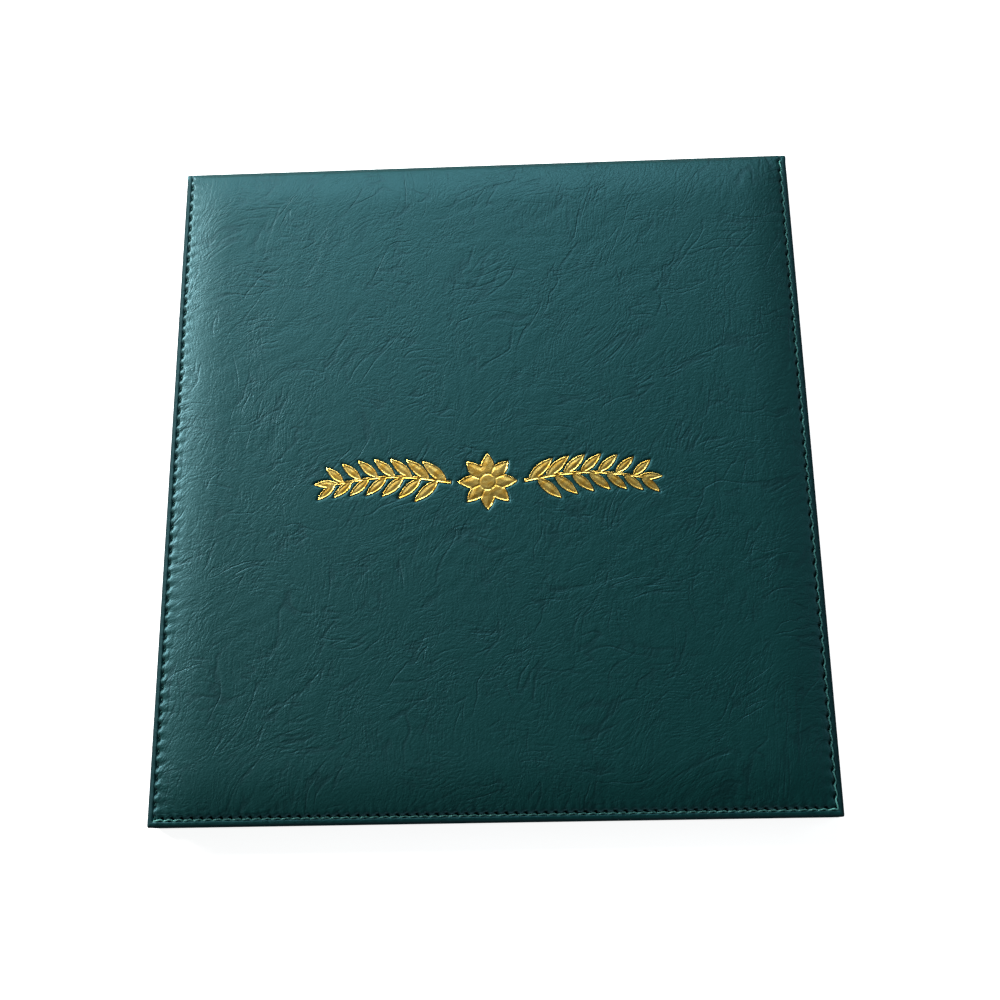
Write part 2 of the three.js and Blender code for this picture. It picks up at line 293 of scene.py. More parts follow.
@dataclass(frozen=True)
class Seam:
    """The seam line: down the left side, along the bottom and up the right side."""

    sizes: CoverSizes
    side_pitch: float = 5.2 * MM
    bottom_pitch: float = 3.9 * MM
    pit_place: float = 0.88
    pit_length: float = 0.27
    open_pit_length: float = 0.17
    left_lap: float = 0.85 * MM
    left_shift: float = 0.35 * MM
    left_sink: float = 0.8 * MM
    low_lap: float = 0.12 * MM
    low_sink: float = 0.1 * MM
    right_lap: float = 0.08 * MM
    side_swing: float = 1.0
    low_swing: float = 0.55
    right_swing: float = 0.7
    pull_reach: float = 3.0 * MM

    @property
    def runs(self) -> list[SeamRun]:
        """The three runs in order."""
        s = self.sizes
        top_left = Vector((-s.seam_x, s.seam_end))
        low_left = Vector((-s.seam_x, s.seam_y))
        low_right = Vector((s.seam_x, s.seam_y))
        top_right = Vector((s.seam_x, s.seam_end))
        return [
            SeamRun(
                top_left, low_left, Vector((1, 0)),
                self.side_pitch, self.left_lap, self.left_sink, self.side_swing,
            ),
            SeamRun(
                low_left, low_right, Vector((0, 1)),
                self.bottom_pitch, self.low_lap, self.low_sink, self.low_swing,
            ),
            SeamRun(
                low_right, top_right, Vector((-1, 0)),
                self.side_pitch, self.right_lap, 0.0, self.right_swing,
            ),
        ]

    def inset(self, x: Array, y: Array) -> Array:
        """Distance inward of the nearest run.

        Args:
            x: First coordinates.
            y: Second coordinates.

        Returns:
            The distances, negative outside the seam.
        """
        return np.minimum(self.sizes.seam_x - np.abs(x), y - self.sizes.seam_y)

    def lapping(self, x: Array, y: Array) -> Array:
        """How far the skin laps over the thread between the pits.

        Args:
            x: First coordinates.
            y: Second coordinates.

        Returns:
            The distances.
        """
        total = np.zeros_like(x)
        for run in self.runs:
            station, inward = run.local(x, y)
            phase = station / run.pitch - self.pit_place
            between = 0.5 - 0.5 * np.cos(2.0 * math.pi * phase)
            near = np.exp(-((inward / self.pull_reach) ** 2))
            total = np.maximum(total, run.lap * between**0.6 * near)
        return total

    def pits(self, x: Array, y: Array, centre: float, across: float) -> Array:
        """How far each point lies in a needle pit, from 0 to 1.

        Args:
            x: First coordinates.
            y: Second coordinates.
            centre: Distance of the pits inward of the seam line.
            across: Half-width of a pit across the seam.

        Returns:
            The shares.
        """
        total = np.zeros_like(x)
        for run in self.runs:
            station, inward = run.local(x, y)
            phase = station / run.pitch - self.pit_place
            offset = (phase - np.round(phase)) * run.pitch
            aside = inward - centre + (self.left_shift if run.inward.x > 0 else 0.0)
            length = self.pit_length if run.inward.x > 0 else self.open_pit_length
            reach = (offset / (length * run.pitch)) ** 2 + (aside / across) ** 2
            inside = (station > -run.pitch / 2) & (station < run.length)
            total = np.maximum(total, np.where(inside, np.exp(-(reach**1.4)), 0.0))
        return total

    def scallops(self, x: Array, y: Array, decay: float) -> Array:
        """Ripple of the skin between the pits, from -1 to 1, dying away from the seam.

        Args:
            x: First coordinates.
            y: Second coordinates.
            decay: Distance over which the ripple dies away.

        Returns:
            The ripple.
        """
        total = np.zeros_like(x)
        for run in self.runs:
            station, inward = run.local(x, y)
            phase = station / run.pitch - self.pit_place
            total += -np.cos(2.0 * math.pi * phase) * np.exp(-np.abs(inward) / decay)
        return total


@dataclass(frozen=True)
class FoldPath:
    """The outer face's line from the bottom edge over the fold to the middle of the spine."""

    sizes: CoverSizes
    radius: float = 1.3 * MM

    @property
    def arc_start(self) -> float:
        """Distance value at which the bend over the fold begins."""
        return self.sizes.fold - self.radius

    @property
    def arc_end(self) -> float:
        """Distance value at which the bend over the fold ends."""
        return self.arc_start + self.radius * math.pi / 2

    @property
    def end(self) -> float:
        """Distance value at the middle of the spine."""
        return self.arc_end + self.sizes.top - self.radius - self.sizes.middle

    def frame(self, distance: Array) -> tuple[Array, Array, Array, Array]:
        """Place and outward normal at each distance value, which equals y on the panel.

        Args:
            distance: Distance values.

        Returns:
            y, z, and the normal's y and z.
        """
        turn = np.clip((distance - self.arc_start) / self.radius, 0.0, math.pi / 2)
        down = np.maximum(distance - self.arc_end, 0.0)
        flat = np.minimum(distance, self.arc_start)
        y = flat + self.radius * np.sin(turn)
        z = self.sizes.top - self.radius * (1.0 - np.cos(turn)) - down
        return y, z, np.sin(turn), np.cos(turn)


@dataclass(frozen=True)
class Relief:
    """Height of a panel's skin over its border, inside the seam."""

    sizes: CoverSizes
    seam: Seam
    padded: bool
    stamps: Optional[BVHTree] = None
    stamp_level: float = 0.0
    stamp_low: tuple[float, float] = (0.0, 0.0)
    stamp_high: tuple[float, float] = (0.0, 0.0)
    groove: float = 0.6 * MM
    groove_half: float = 0.35 * MM
    puff: float = 0.3
    puff_run: float = 0.55 * MM
    shoulder: float = 21.0 * MM
    dome: float = 0.5 * MM
    ripple: float = 0.16 * MM
    wrinkle: float = 0.1 * MM
    stamp_depth: float = 0.75 * MM
    stamp_soft_depth: float = 0.14 * MM
    flat_sink: float = 0.16 * MM
    pit_centre: float = 0.75 * MM
    pit_half: float = 0.55 * MM
    pit_depth: float = 1.15
    fold_groove: float = 0.2
    # Strengths of the painted shade in the seam groove and round the stamped outlines.
    groove_shade: float = 0.55
    stamp_shade: float = 0.8
    stamp_soft_reach: tuple[float, float] = (0.3 * MM, 1.5 * MM)
    stamp_wall_reach: tuple[float, float] = (0.1 * MM, 0.5 * MM)
    stamp_shade_reach: tuple[float, float] = (0.05 * MM, 0.45 * MM)
    wrinkle_reach: tuple[float, float] = (0.5 * MM, 4 * MM)
    groove_floor: float = 0.1 * MM
    groove_wall: float = 0.35 * MM
    pit_fill: float = 1.25
    # Strength of the painted shade in the needle pits.
    pit_shade: float = 1.3
    scallop_reach: float = 2.4 * MM
    fold_run: float = 0.4 * MM
    stamp_margin: float = 2.5 * MM
    bend: float = 14.0 * MM
    bend_cell: float = 60 * MM
    patch_cell: float = 70 * MM
    fold_width: float = 0.16

    def rise(self, distance: Array) -> Array:
        """Share of the crown's height at a distance inside its foot.

        Args:
            distance: Distances inward.

        Returns:
            Shares from 0 to 1.
        """
        inside = np.maximum(distance, 0.0)
        quick = self.puff * (1.0 - np.exp(-inside / self.puff_run))
        reach = np.clip(inside / self.shoulder, 0.0, 1.0)
        return quick + (1.0 - self.puff) * (1.0 - (1.0 - reach) ** 2.2)

    def crown(self, x: Array, distance: Array, lap: Array) -> Array:
        """Height of the padded crown.

        Args:
            x: First coordinates.
            distance: Distance values along the fold path.
            lap: How far the crown's foot is moved outward.

        Returns:
            Heights over the border.
        """
        s = self.sizes
        across = s.seam_x - np.abs(x) - self.groove_half + lap
        low = distance - s.seam_y - self.groove_half + lap
        high = s.skin_end + self.fold_run - distance
        full = s.plateau - s.top
        bow = (x / s.half_width) ** 2 + (distance / s.fold) ** 2
        share = self.rise(across) * self.rise(np.minimum(low, high))
        return share * (full - self.dome * 0.5 * bow)

    def wrinkles(self, x: Array, y: Array) -> Array:
        """Soft folds of the sheet over its padding, along two leading directions.

        Args:
            x: First coordinates.
            y: Second coordinates.

        Returns:
            Heights, mostly negative in the folds.
        """
        total = np.zeros_like(x)
        bend_x = x + self.bend * gradient_noise(x / self.bend_cell, y / self.bend_cell, 11)
        bend_y = y + self.bend * gradient_noise(x / self.bend_cell, y / self.bend_cell, 12)
        for index, (degrees, across, along) in enumerate(((28.0, 7.0, 34.0), (84.0, 6.0, 30.0))):
            turn = math.radians(degrees)
            u = (bend_x * math.cos(turn) + bend_y * math.sin(turn)) / (along * MM)
            v = (bend_y * math.cos(turn) - bend_x * math.sin(turn)) / (across * MM)
            line = np.abs(gradient_noise(u, v, 21 + index))
            patch = gradient_noise(x / self.patch_cell, y / self.patch_cell, 31 + index)
            where = smoothstep(-0.25, 0.3, patch)
            total += -self.wrinkle * where * np.clip(1.0 - line / self.fold_width, 0.0, 1.0) ** 1.5
        return total

    def stamp_distance(self, x: Array, y: Array) -> Array:
        """Distance of points from the stamped outlines, 0 inside them.

        Args:
            x: First coordinates.
            y: Second coordinates.

        Returns:
            Distances, large away from the stamps.
        """
        far = np.full_like(x, 1.0)
        if self.stamps is None:
            return far
        margin = self.stamp_margin
        wanted = (x > self.stamp_low[0] - margin) & (x < self.stamp_high[0] + margin)
        wanted &= (y > self.stamp_low[1] - margin) & (y < self.stamp_high[1] + margin)
        for index in np.flatnonzero(wanted):
            point = Vector((x[index], y[index], self.stamp_level))
            far[index] = self.stamps.find_nearest(point)[3]
        return far

    def heights(self, x: Array, distance: Array) -> tuple[Array, Array]:
        """Height over the border, and painted shade, of each point inside the seam.

        Args:
            x: First coordinates.
            distance: Distance values along the fold path.

        Returns:
            Heights and painted shade from 0 to 1.
        """
        inset = self.seam.inset(x, distance)
        on_panel = self.sizes.on_panel(distance)
        lap = self.seam.lapping(x, distance)
        body = self.crown(x, distance, lap) if self.padded else np.full_like(x, -self.flat_sink)
        body = body + on_panel * self.wrinkles(x, distance) * smoothstep(*self.wrinkle_reach, inset)
        body = body + on_panel * self.ripple * self.seam.scallops(x, distance, self.scallop_reach)
        wall = smoothstep(self.groove_floor, self.groove_half + self.groove_wall, inset + lap)
        pits = on_panel * self.seam.pits(x, distance, self.pit_centre, self.pit_half)
        groove = self.groove * (self.fold_groove + (1.0 - self.fold_groove) * on_panel)
        height = -groove * (1.0 - wall) + body * wall
        filled = np.clip(self.pit_fill * pits, 0.0, 1.0)
        height = height + (-self.pit_depth * self.groove - height) * filled
        gap = self.stamp_distance(x, distance)
        soft = self.stamp_soft_depth * (1.0 - smoothstep(*self.stamp_soft_reach, gap))
        wall_depth = self.stamp_depth - self.stamp_soft_depth
        deep = wall_depth * (1.0 - smoothstep(*self.stamp_wall_reach, gap))
        # Painted shade where shade falls: in the seam groove, in the needle pits and round the
        # stamped outlines.
        groove_shade = self.groove_shade * (1.0 - wall) * on_panel
        shade = np.maximum(np.clip(self.pit_shade * pits, 0.0, 1.0), groove_shade)
        stamp_shade = self.stamp_shade * (1.0 - smoothstep(*self.stamp_shade_reach, gap))
        shade = np.maximum(shade, stamp_shade)
        return height - soft - deep, shade


@dataclass
class SkinSheet:
    """The outer sheet inside the seam, over the fold and down half the spine."""

    side: Side
    sizes: CoverSizes
    path: FoldPath
    relief: Relief
    cell: float
    overlap: float = 0.8 * MM
    fine: int = 3
    fine_seam: float = 5 * MM
    fine_spine: float = 1 * MM
    fine_stamp: float = 1.9 * MM

    def surface(self, x: Array, distance: Array) -> tuple[Array, Array]:
        """Points and darkening of the sheet.

        Args:
            x: First coordinates.
            distance: Distance values along the fold path.

        Returns:
            Points, one row each, and darkening.
        """
        height, shade = self.relief.heights(x, distance)
        y, z, normal_y, normal_z = self.path.frame(distance)
        out = np.stack([x, y + normal_y * height, z + normal_z * height], axis=1)
        if self.side is Side.BACK:
            out[:, 2] = self.sizes.top - out[:, 2]
        return out, shade

    def is_fine(self, x: Array, distance: Array) -> Array:
        """Which cells need small faces: at the seam, at the fold and at the stamps.

        Args:
            x: Cell middles.
            distance: Cell middles along the fold path.

        Returns:
            True for the small-faced cells.
        """
        s = self.sizes
        seam = (self.relief.seam.inset(x, distance) < self.fine_seam) & (distance < s.skin_end)
        fold = distance > s.skin_end - s.fold_fade
        fold &= distance < self.path.arc_end + self.fine_spine
        stamp = self.relief.stamp_distance(x, distance) < self.fine_stamp
        return seam | fold | stamp

    def build(self) -> tuple[Array, list[tuple[int, ...]], Array, Array]:
        """Makes the sheet's mesh data.

        Returns:
            Points, faces, texture places and darkening.
        """
        half = self.sizes.seam_x + self.overlap
        low = self.sizes.seam_y - self.overlap
        columns = round(2 * half / self.cell)
        rows = round((self.path.end - low) / self.cell)
        step_x = 2 * half / columns
        step_y = (self.path.end - low) / rows
        grid_x, grid_y = np.meshgrid(np.arange(columns) + 0.5, np.arange(rows) + 0.5)
        fine = self.is_fine((grid_x * step_x - half).ravel(), (grid_y * step_y + low).ravel())
        fine = fine.reshape(rows, columns)
        numbers: dict[tuple[int, int], int] = {}

        def vertex(i: int, j: int) -> int:
            return numbers.setdefault((i, j), len(numbers))

        faces: list[tuple[int, ...]] = []
        k = self.fine
        for row in range(rows):
            for column in range(columns):
                i, j = column * k, row * k
                if fine[row, column]:
                    for a in range(k):
                        for b in range(k):
                            u, v = i + a, j + b
                            quad = ((u, v), (u + 1, v), (u + 1, v + 1), (u, v + 1))
                            faces.append(tuple(vertex(*corner) for corner in quad))
                    continue
                outline = [(i, j)]
                if row > 0 and fine[row - 1, column]:
                    outline += [(i + a, j) for a in range(1, k)]
                outline.append((i + k, j))
                if column < columns - 1 and fine[row, column + 1]:
                    outline += [(i + k, j + a) for a in range(1, k)]
                outline.append((i + k, j + k))
                if row < rows - 1 and fine[row + 1, column]:
                    outline += [(i + a, j + k) for a in range(k - 1, 0, -1)]
                outline.append((i, j + k))
                if column > 0 and fine[row, column - 1]:
                    outline += [(i, j + a) for a in range(k - 1, 0, -1)]
                faces.append(tuple(vertex(*corner) for corner in outline))
        lattice = np.array(list(numbers), float)
        x = lattice[:, 0] * step_x / k - half
        distance = lattice[:, 1] * step_y / k + low
        points, shade = self.surface(x, distance)
        if self.side is Side.BACK:
            faces = [face[::-1] for face in faces]
        return points, faces, np.stack([x, distance], axis=1), shade


@dataclass
class TurnedEdge:
    """The border strip outside the seam, rolled over the board's edge and glued down inside."""

    side: Side
    sizes: CoverSizes
    path: FoldPath
    seam: Seam
    station_step: float = 0.75 * MM
    overlap: float = 0.25 * MM
    groove: float = 0.62 * MM
    roll: float = 1.5 * MM
    inner_round: float = 0.8 * MM
    flange_width: float = 14.0 * MM
    ripple: float = 0.13 * MM
    corner_radius: float = 0.6 * MM
    hem_thickness: float = 2.1 * MM
    sink: float = 0.0
    # Painted shade on the rolled edge and on the hem's inner face: its strength, and how far it
    # reaches inward on the sides and along the bottom.
    burnish: float = 0.92
    side_burnish: float = 3.3 * MM
    low_burnish: float = 1.5 * MM
    top_steps: int = 10
    round_steps: int = 4
    crest_gap: float = 0.75 * MM
    crest_spread: float = 1.25
    roll_power: float = 2.6
    bare_wall: float = 0.7 * MM
    scallop_reach: float = 1.1 * MM
    hem_run: float = 3.0 * MM
    hem_shade: float = 4 * MM
    hem_drop: float = 1.2 * MM

    def section(self, thickness: Array) -> tuple[Array, Array]:
        """Cross-section of the strip at each station.

        Args:
            thickness: Thickness of the turned edge at each station.

        Returns:
            Distance inward of the outline, and height over the border, one row for each station.
        """
        inset = self.sizes.half_width - self.sizes.seam_x
        crest = inset - self.crest_gap
        share = np.linspace(0.0, 1.0, self.top_steps)
        top_in = crest * (1.0 - share) ** self.crest_spread
        across = 1.0 - top_in / crest
        drop = 1.0 - np.sqrt(np.clip(1.0 - across**self.roll_power, 0.0, 1.0))
        roll = np.minimum(self.roll, thickness - self.inner_round - self.bare_wall)
        lead_in = np.array([inset + self.overlap, inset - 0.15 * MM, inset - 0.4 * MM])
        lead_height = np.array([-self.groove, -self.groove, -0.22 * MM])
        turn = np.linspace(0.0, math.pi / 2, self.round_steps)
        round_in = self.inner_round * (1.0 - np.cos(turn))
        stations = len(thickness)
        inward = [np.tile(lead_in, (stations, 1)), np.tile(top_in, (stations, 1))]
        height = [np.tile(lead_height, (stations, 1)), -roll[:, None] * drop[None, :]]
        low = -(thickness[:, None] - self.inner_round)
        inward.append(np.tile(round_in, (stations, 1)))
        height.append(low - self.inner_round * np.sin(turn)[None, :])
        inward.append(np.full((stations, 1), self.flange_width))
        height.append(-thickness[:, None])
        return np.concatenate(inward, axis=1), np.concatenate(height, axis=1)

    def round_corner(self, inward: Array, other: Array) -> tuple[Array, Array]:
        """Rounds the outline's corner in plan, by turning nested squares into circles.

        Args:
            inward: Distances from one edge.
            other: Distances from the edge round the corner.

        Returns:
            The two distances, rounded where both are small.
        """
        radius = self.corner_radius
        a = np.maximum(radius - inward, 0.0)
        b = np.maximum(radius - other, 0.0)
        length = np.hypot(a, b)
        ratio = np.where(length > 0, np.maximum(a, b) / np.where(length > 0, length, 1.0), 1.0)
        both = (a > 0) & (b > 0)
        return (
            np.where(both, radius - a * ratio, inward),
            np.where(both, radius - b * ratio, other),
        )

    def build_side(self, sign: int) -> tuple[Array, list[tuple[int, ...]], Array, Array]:
        """Makes one side strip, from the bottom corner over the fold to the middle of the spine.

        Args:
            sign: 1 for the right side, -1 for the left.

        Returns:
            Points, faces, texture places and darkening.
        """
        s = self.sizes
        rows = round((self.path.end - s.bottom) / self.station_step)
        station = np.linspace(s.bottom, self.path.end, rows)
        hinge = smoothstep(s.skin_end - self.hem_run, s.skin_end, station)
        thickness = s.flange + (self.hem_thickness - s.flange) * hinge
        inward, height = self.section(thickness)
        share = (self.path.end - station)[:, None] / (self.path.end - s.bottom)
        distance = station[:, None] + inward * share
        return self._finish(inward, height, distance, sign, None)

    def build_bottom(self) -> tuple[Array, list[tuple[int, ...]], Array, Array]:
        """Makes the strip along the bottom edge, from corner to corner.

        Returns:
            Points, faces, texture places and darkening.
        """
        s = self.sizes
        columns = round(2 * s.half_width / self.station_step)
        station = np.linspace(-1.0, 1.0, columns)
        inward, height = self.section(np.full(columns, s.flange))
        x = station[:, None] * (s.half_width - inward)
        return self._finish(inward, height, None, 0, x)

    def _finish(
        self, inward: Array, height: Array, distance: Optional[Array], sign: int, x: Optional[Array]
    ) -> tuple[Array, list[tuple[int, ...]], Array, Array]:
        """Places a strip's stations in space.

        Args:
            inward: Distances inward of the strip's own edge.
            height: Heights over the border.
            distance: Distance values along the fold path, for a side strip.
            sign: 1 or -1 for a side strip, 0 for the bottom strip.
            x: First coordinates, for the bottom strip.

        Returns:
            Points, faces, texture places and darkening.
        """
        s = self.sizes
        rows, columns = inward.shape
        if sign:
            side_in, low_in = self.round_corner(inward, distance - s.bottom)
            plan_x = sign * (s.half_width - side_in)
            plan_y = s.bottom + low_in
        else:
            low_in, side_in = self.round_corner(inward, s.half_width - np.abs(x))
            plan_x = np.sign(x) * (s.half_width - side_in)
            plan_y = s.bottom + low_in
        on_panel = s.on_panel(plan_y)
        ripple = self.seam.scallops(plan_x.ravel(), plan_y.ravel(), self.scallop_reach)
        ripple = ripple.reshape(rows, columns)
        upper = height > -self.roll
        height = height + np.where(upper, self.ripple * ripple * on_panel, 0.0) - self.sink
        y, z, normal_y, normal_z = self.path.frame(plan_y)
        points = np.stack([plan_x, y + normal_y * height, z + normal_z * height], axis=-1)
        if self.side is Side.BACK:
            points[..., 2] = s.top - points[..., 2]
        step_in = np.diff(inward, axis=1, prepend=inward[:, :1])
        step_up = np.diff(height, axis=1, prepend=height[:, :1])
        arc = np.cumsum(np.hypot(step_in, step_up), axis=1)
        # Painted shade on the roll, darkest at the outer edge, fading inward and down the wall.
        reach = self.side_burnish if sign else self.low_burnish
        shade = self.burnish * (1.0 - smoothstep(0.0, reach, inward)) * on_panel
        shade *= 1.0 - smoothstep(self.roll - 0.4 * MM, self.roll + 0.8 * MM, -height)
        # The hem's inner face near the fold gets the painted shade in full.
        hem = (height < -self.hem_drop) & (plan_y > s.skin_end - self.hem_shade)
        shade = np.where(hem, self.burnish, shade)
        run = plan_y if sign else plan_x
        uv = np.stack([arc + 0.2 * sign, run], axis=-1)
        flip = (sign > 0) == (self.side is Side.FRONT)
        faces = strip_faces(rows, columns, closed=False, flip=flip)
        return points.reshape(-1, 3), faces, uv.reshape(-1, 2), shade.ravel()


@dataclass
class Skin:
    """A panel's whole leatherette skin with its half of the spine, as one piece."""

    side: Side
    sizes: CoverSizes
    path: FoldPath
    relief: Relief
    cell: float
    bend_start: float = 0.3 * MM
    bend_run: float = 3.4 * MM

    def build(self) -> bpy.types.Object:
        """Builds the skin, shaped over the fold from the panel to the middle of the spine.

        Returns:
            The skin.
        """
        sheet = SkinSheet(self.side, self.sizes, self.path, self.relief, self.cell)
        edge = TurnedEdge(self.side, self.sizes, self.path, self.relief.seam)
        edge.sink = 0.0 if self.side is Side.FRONT else edge.ripple
        points, faces, uv, shade = sheet.build()
        parts = [(points, faces, uv, shade)]
        for made in (edge.build_side(-1), edge.build_bottom(), edge.build_side(1)):
            parts.append(made)
        offset = 0
        all_faces: list[tuple[int, ...]] = []
        for part_points, part_faces, _, _ in parts:
            all_faces += [tuple(number + offset for number in face) for face in part_faces]
            offset += len(part_points)
        skin = make_object(
            f"{self.side.word}_skin",
            np.concatenate([part[0] for part in parts]),
            all_faces,
            np.concatenate([part[2] for part in parts]),
            np.concatenate([part[3] for part in parts]),
        )
        if self.side is Side.FRONT:
            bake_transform(skin)
            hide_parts("front_leatherette", "spine_leatherette")
        else:
            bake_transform(skin)
            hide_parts("back_leatherette")
        log.info("%s: %d faces", skin.name, len(all_faces))
        return skin


@dataclass
class Stitching:
    """One continuous thread along the seam, slanting from hole to hole."""

    side: Side
    seam: Seam
    node: str
    base: float
    outward: int
    lapped: float = 0.0
    swing: float = 0.46 * MM
    arch: float = 0.66 * MM
    radius: float = 0.33 * MM
    samples: int = 12
    ring: int = 8
    width: float = 0.5 * MM
    return_start: float = 0.74
    arch_power: float = 0.6
    sample_length: float = 0.5 * MM
    girth: float = 2 * MM

    def lateral(self, phase: Array) -> Array:
        """Sideways place of the thread within a stitch: a slow slant inward, then a quick return.

        Args:
            phase: Place along the stitch, from 0 to 1.

        Returns:
            Share from -1 at the border side to 1 at the inner side.
        """
        slow = -1.0 + 2.0 * smoothstep(0.0, self.return_start, phase)
        quick = 1.0 - 2.0 * smoothstep(self.return_start, 1.0, phase)
        return np.where(phase < self.return_start, slow, quick)

    def build(self) -> bpy.types.Object:
        """Builds the thread.

        Returns:
            The thread.
        """
        centre: list[Vector] = []
        for run in self.seam.runs:
            along = (run.end - run.start).normalized()
            for step in range(run.stitches * self.samples):
                place = step / self.samples
                phase = np.array(place % 1.0)
                aside = float(self.lateral(phase)) * self.swing * run.swing
                lift = self.arch * math.sin(math.pi * float(phase)) ** self.arch_power
                flat = run.start + along * place * run.pitch + run.inward * aside
                level = self.base + self.outward * (lift - run.sink * self.lapped)
                centre.append(Vector((flat.x, flat.y, level)))
        points = sweep(centre, self.radius, self.ring)
        faces = strip_faces(len(centre), self.ring, closed=True, flip=False)
        faces.append(tuple(range(self.ring)))
        faces.append(tuple(range(len(points) - 1, len(points) - 1 - self.ring, -1)))
        along_uv = np.repeat(np.arange(len(centre)) * self.sample_length, self.ring)
        round_uv = np.tile(np.arange(self.ring) / self.ring * self.girth, len(centre))
        name = self.node.replace("thread", "stitches")
        thread = make_object(name, points, faces, np.stack([round_uv, along_uv], axis=1))
        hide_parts(self.node)
        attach(thread, f"{self.side.word}_panel")
        return thread


def sweep(centre: Sequence[Vector], radius: float, sides: int) -> Array:
    """Round section carried along a line.

    Args:
        centre: Points of the line.
        radius: Radius of the section.
        sides: Vertices in the section.

    Returns:
        The vertices, ring by ring.
    """
    line = np.array([tuple(point) for point in centre])
    along = np.gradient(line, axis=0)
    along /= np.linalg.norm(along, axis=1, keepdims=True)
    aside = np.cross(along, (0.0, 0.0, 1.0))
    aside /= np.linalg.norm(aside, axis=1, keepdims=True)
    up = np.cross(aside, along)
    turn = np.linspace(0.0, 2.0 * math.pi, sides, endpoint=False)
    sideways = np.cos(turn)[None, :, None] * aside[:, None, :]
    upward = np.sin(turn)[None, :, None] * up[:, None, :]
    return (line[:, None, :] + radius * (sideways + upward)).reshape(-1, 3)


@dataclass
class StampedFoil:
    """One foil stamping, pressed into the padded skin with raised walls round a flat floor."""

    node: str
    sizes: CoverSizes
    spacing: float = 0.34 * MM
    rim: float = 0.2 * MM
    floor: float = 0.46 * MM
    wall: float = 0.42 * MM
    skirt: float = 0.95 * MM
    ridge: float = 0.16 * MM
    ridge_start: float = 0.75 * MM
    ridge_end: float = 2.3 * MM
    petals: int = 0
    hub: float = 3.4 * MM
    line: float = 0.3 * MM

    def outline(self) -> tuple[Array, list[tuple[int, int]]]:
        """Reads the stamping's outline from the top face of its CAD node.

        Returns:
            Outline points and the edges between them.
        """
        mesh = bpy.data.objects[self.node].data
        points = np.array([vertex.co[:] for vertex in mesh.vertices])
        top = points[:, 2].max() - 0.01 * MM
        corner: dict[tuple[float, float], int] = {}
        used: dict[tuple[int, int], int] = {}
        for polygon in mesh.polygons:
            if min(points[number][2] for number in polygon.vertices) < top:
                continue
            keys = [tuple(np.round(points[number][:2], 6)) for number in polygon.vertices]
            ring = [corner.setdefault(key, len(corner)) for key in keys]
            for first, second in zip(ring, ring[1:] + ring[:1]):
                edge = (min(first, second), max(first, second))
                used[edge] = used.get(edge, 0) + 1
        border = [edge for edge, times in used.items() if times == 1]
        numbers = sorted({number for edge in border for number in edge})
        place = {number: index for index, number in enumerate(numbers)}
        return np.array(list(corner))[numbers], [(place[a], place[b]) for a, b in border]

    def build(self, relief: Relief) -> bpy.types.Object:
        """Builds the stamping.

        Args:
            relief: Height of the skin that carries it.

        Returns:
            The stamping.
        """
        corners, edges = self.outline()
        ends = corners[np.array(edges)]
        low, high = corners.min(axis=0), corners.max(axis=0)
        rows = np.arange(low[1], high[1], self.spacing * math.sqrt(0.75))
        inner = []
        for index, y in enumerate(rows):
            for x in np.arange(low[0] + (index % 2) * self.spacing / 2, high[0], self.spacing):
                inner.append((x, y))
        inner_points = np.array(inner)
        away = distance_to_segments(inner_points, ends)
        inner_points = inner_points[away > 0.45 * self.spacing]
        flat = np.concatenate([corners, inner_points])
        made = delaunay_2d_cdt([Vector(point) for point in flat.tolist()], edges, [], 1, 1e-7)
        plane = np.array([tuple(point) for point in made[0]])
        depth = distance_to_segments(plane, ends)
        surround = self.sizes.top + relief.crown(plane[:, 0], plane[:, 1], np.zeros(len(plane)))
        fall = smoothstep(0.0, self.wall, depth)
        grain = 0.008 * MM * gradient_noise(plane[:, 0] / (0.9 * MM), plane[:, 1] / (0.9 * MM), 51)
        ridge_run = self.ridge_end - self.ridge_start
        rise = self.ridge * np.clip((depth - self.ridge_start) / ridge_run, 0.0, 1.0)
        z = surround - self.rim - (self.floor - self.rim) * fall + rise + grain
        z -= self.ridge * self.petal_lines(plane)
        points = np.column_stack([plane, z])
        faces = [tuple(face) for face in made[2]]
        points, faces = self.add_skirt(points, faces)
        uv = points[:, :2]
        stamp = make_object(self.node.replace("foil", "stamp"), points, faces, uv)
        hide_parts(self.node)
        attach(stamp, "front_panel")
        return stamp

    def petal_lines(self, plane: Array) -> Array:
        """Pressed lines between the petals and round the hub, from 0 to 1.

        Args:
            plane: Points of the stamping, in plan.

        Returns:
            How far each point lies in a line.
        """
        if not self.petals:
            return np.zeros(len(plane))
        low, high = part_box(self.node)
        off_x = plane[:, 0] - (low.x + high.x) / 2
        off_y = plane[:, 1] - (low.y + high.y) / 2
        radius = np.hypot(off_x, off_y)
        turn = np.arctan2(off_y, off_x) / (2.0 * math.pi / self.petals) - 0.5
        aside = np.abs(turn - np.round(turn)) * (2.0 * math.pi / self.petals) * radius
        between = np.exp(-((aside / self.line) ** 2)) * (radius > self.hub)
        ring = np.exp(-(((radius - self.hub) / self.line) ** 2))
        return np.maximum(between, ring)

    def add_skirt(
        self, points: Array, faces: list[tuple[int, ...]]
    ) -> tuple[Array, list[tuple[int, ...]]]:
        """Carries the stamping's outline down into the skin.

        Args:
            points: Points of the stamping.
            faces: Its faces.

        Returns:
            Points and faces with the skirt.
        """
        directed = {
            (face[i], face[(i + 1) % len(face)]) for face in faces for i in range(len(face))
        }
        border = [edge for edge in directed if edge[::-1] not in directed]
        numbers = sorted({number for edge in border for number in edge})
        place = {number: len(points) + index for index, number in enumerate(numbers)}
        lower = points[numbers].copy()
        lower[:, 2] -= self.skirt - self.rim
        walls = [(b, a, place[a], place[b]) for a, b in border]
        return np.concatenate([points, lower]), faces + walls


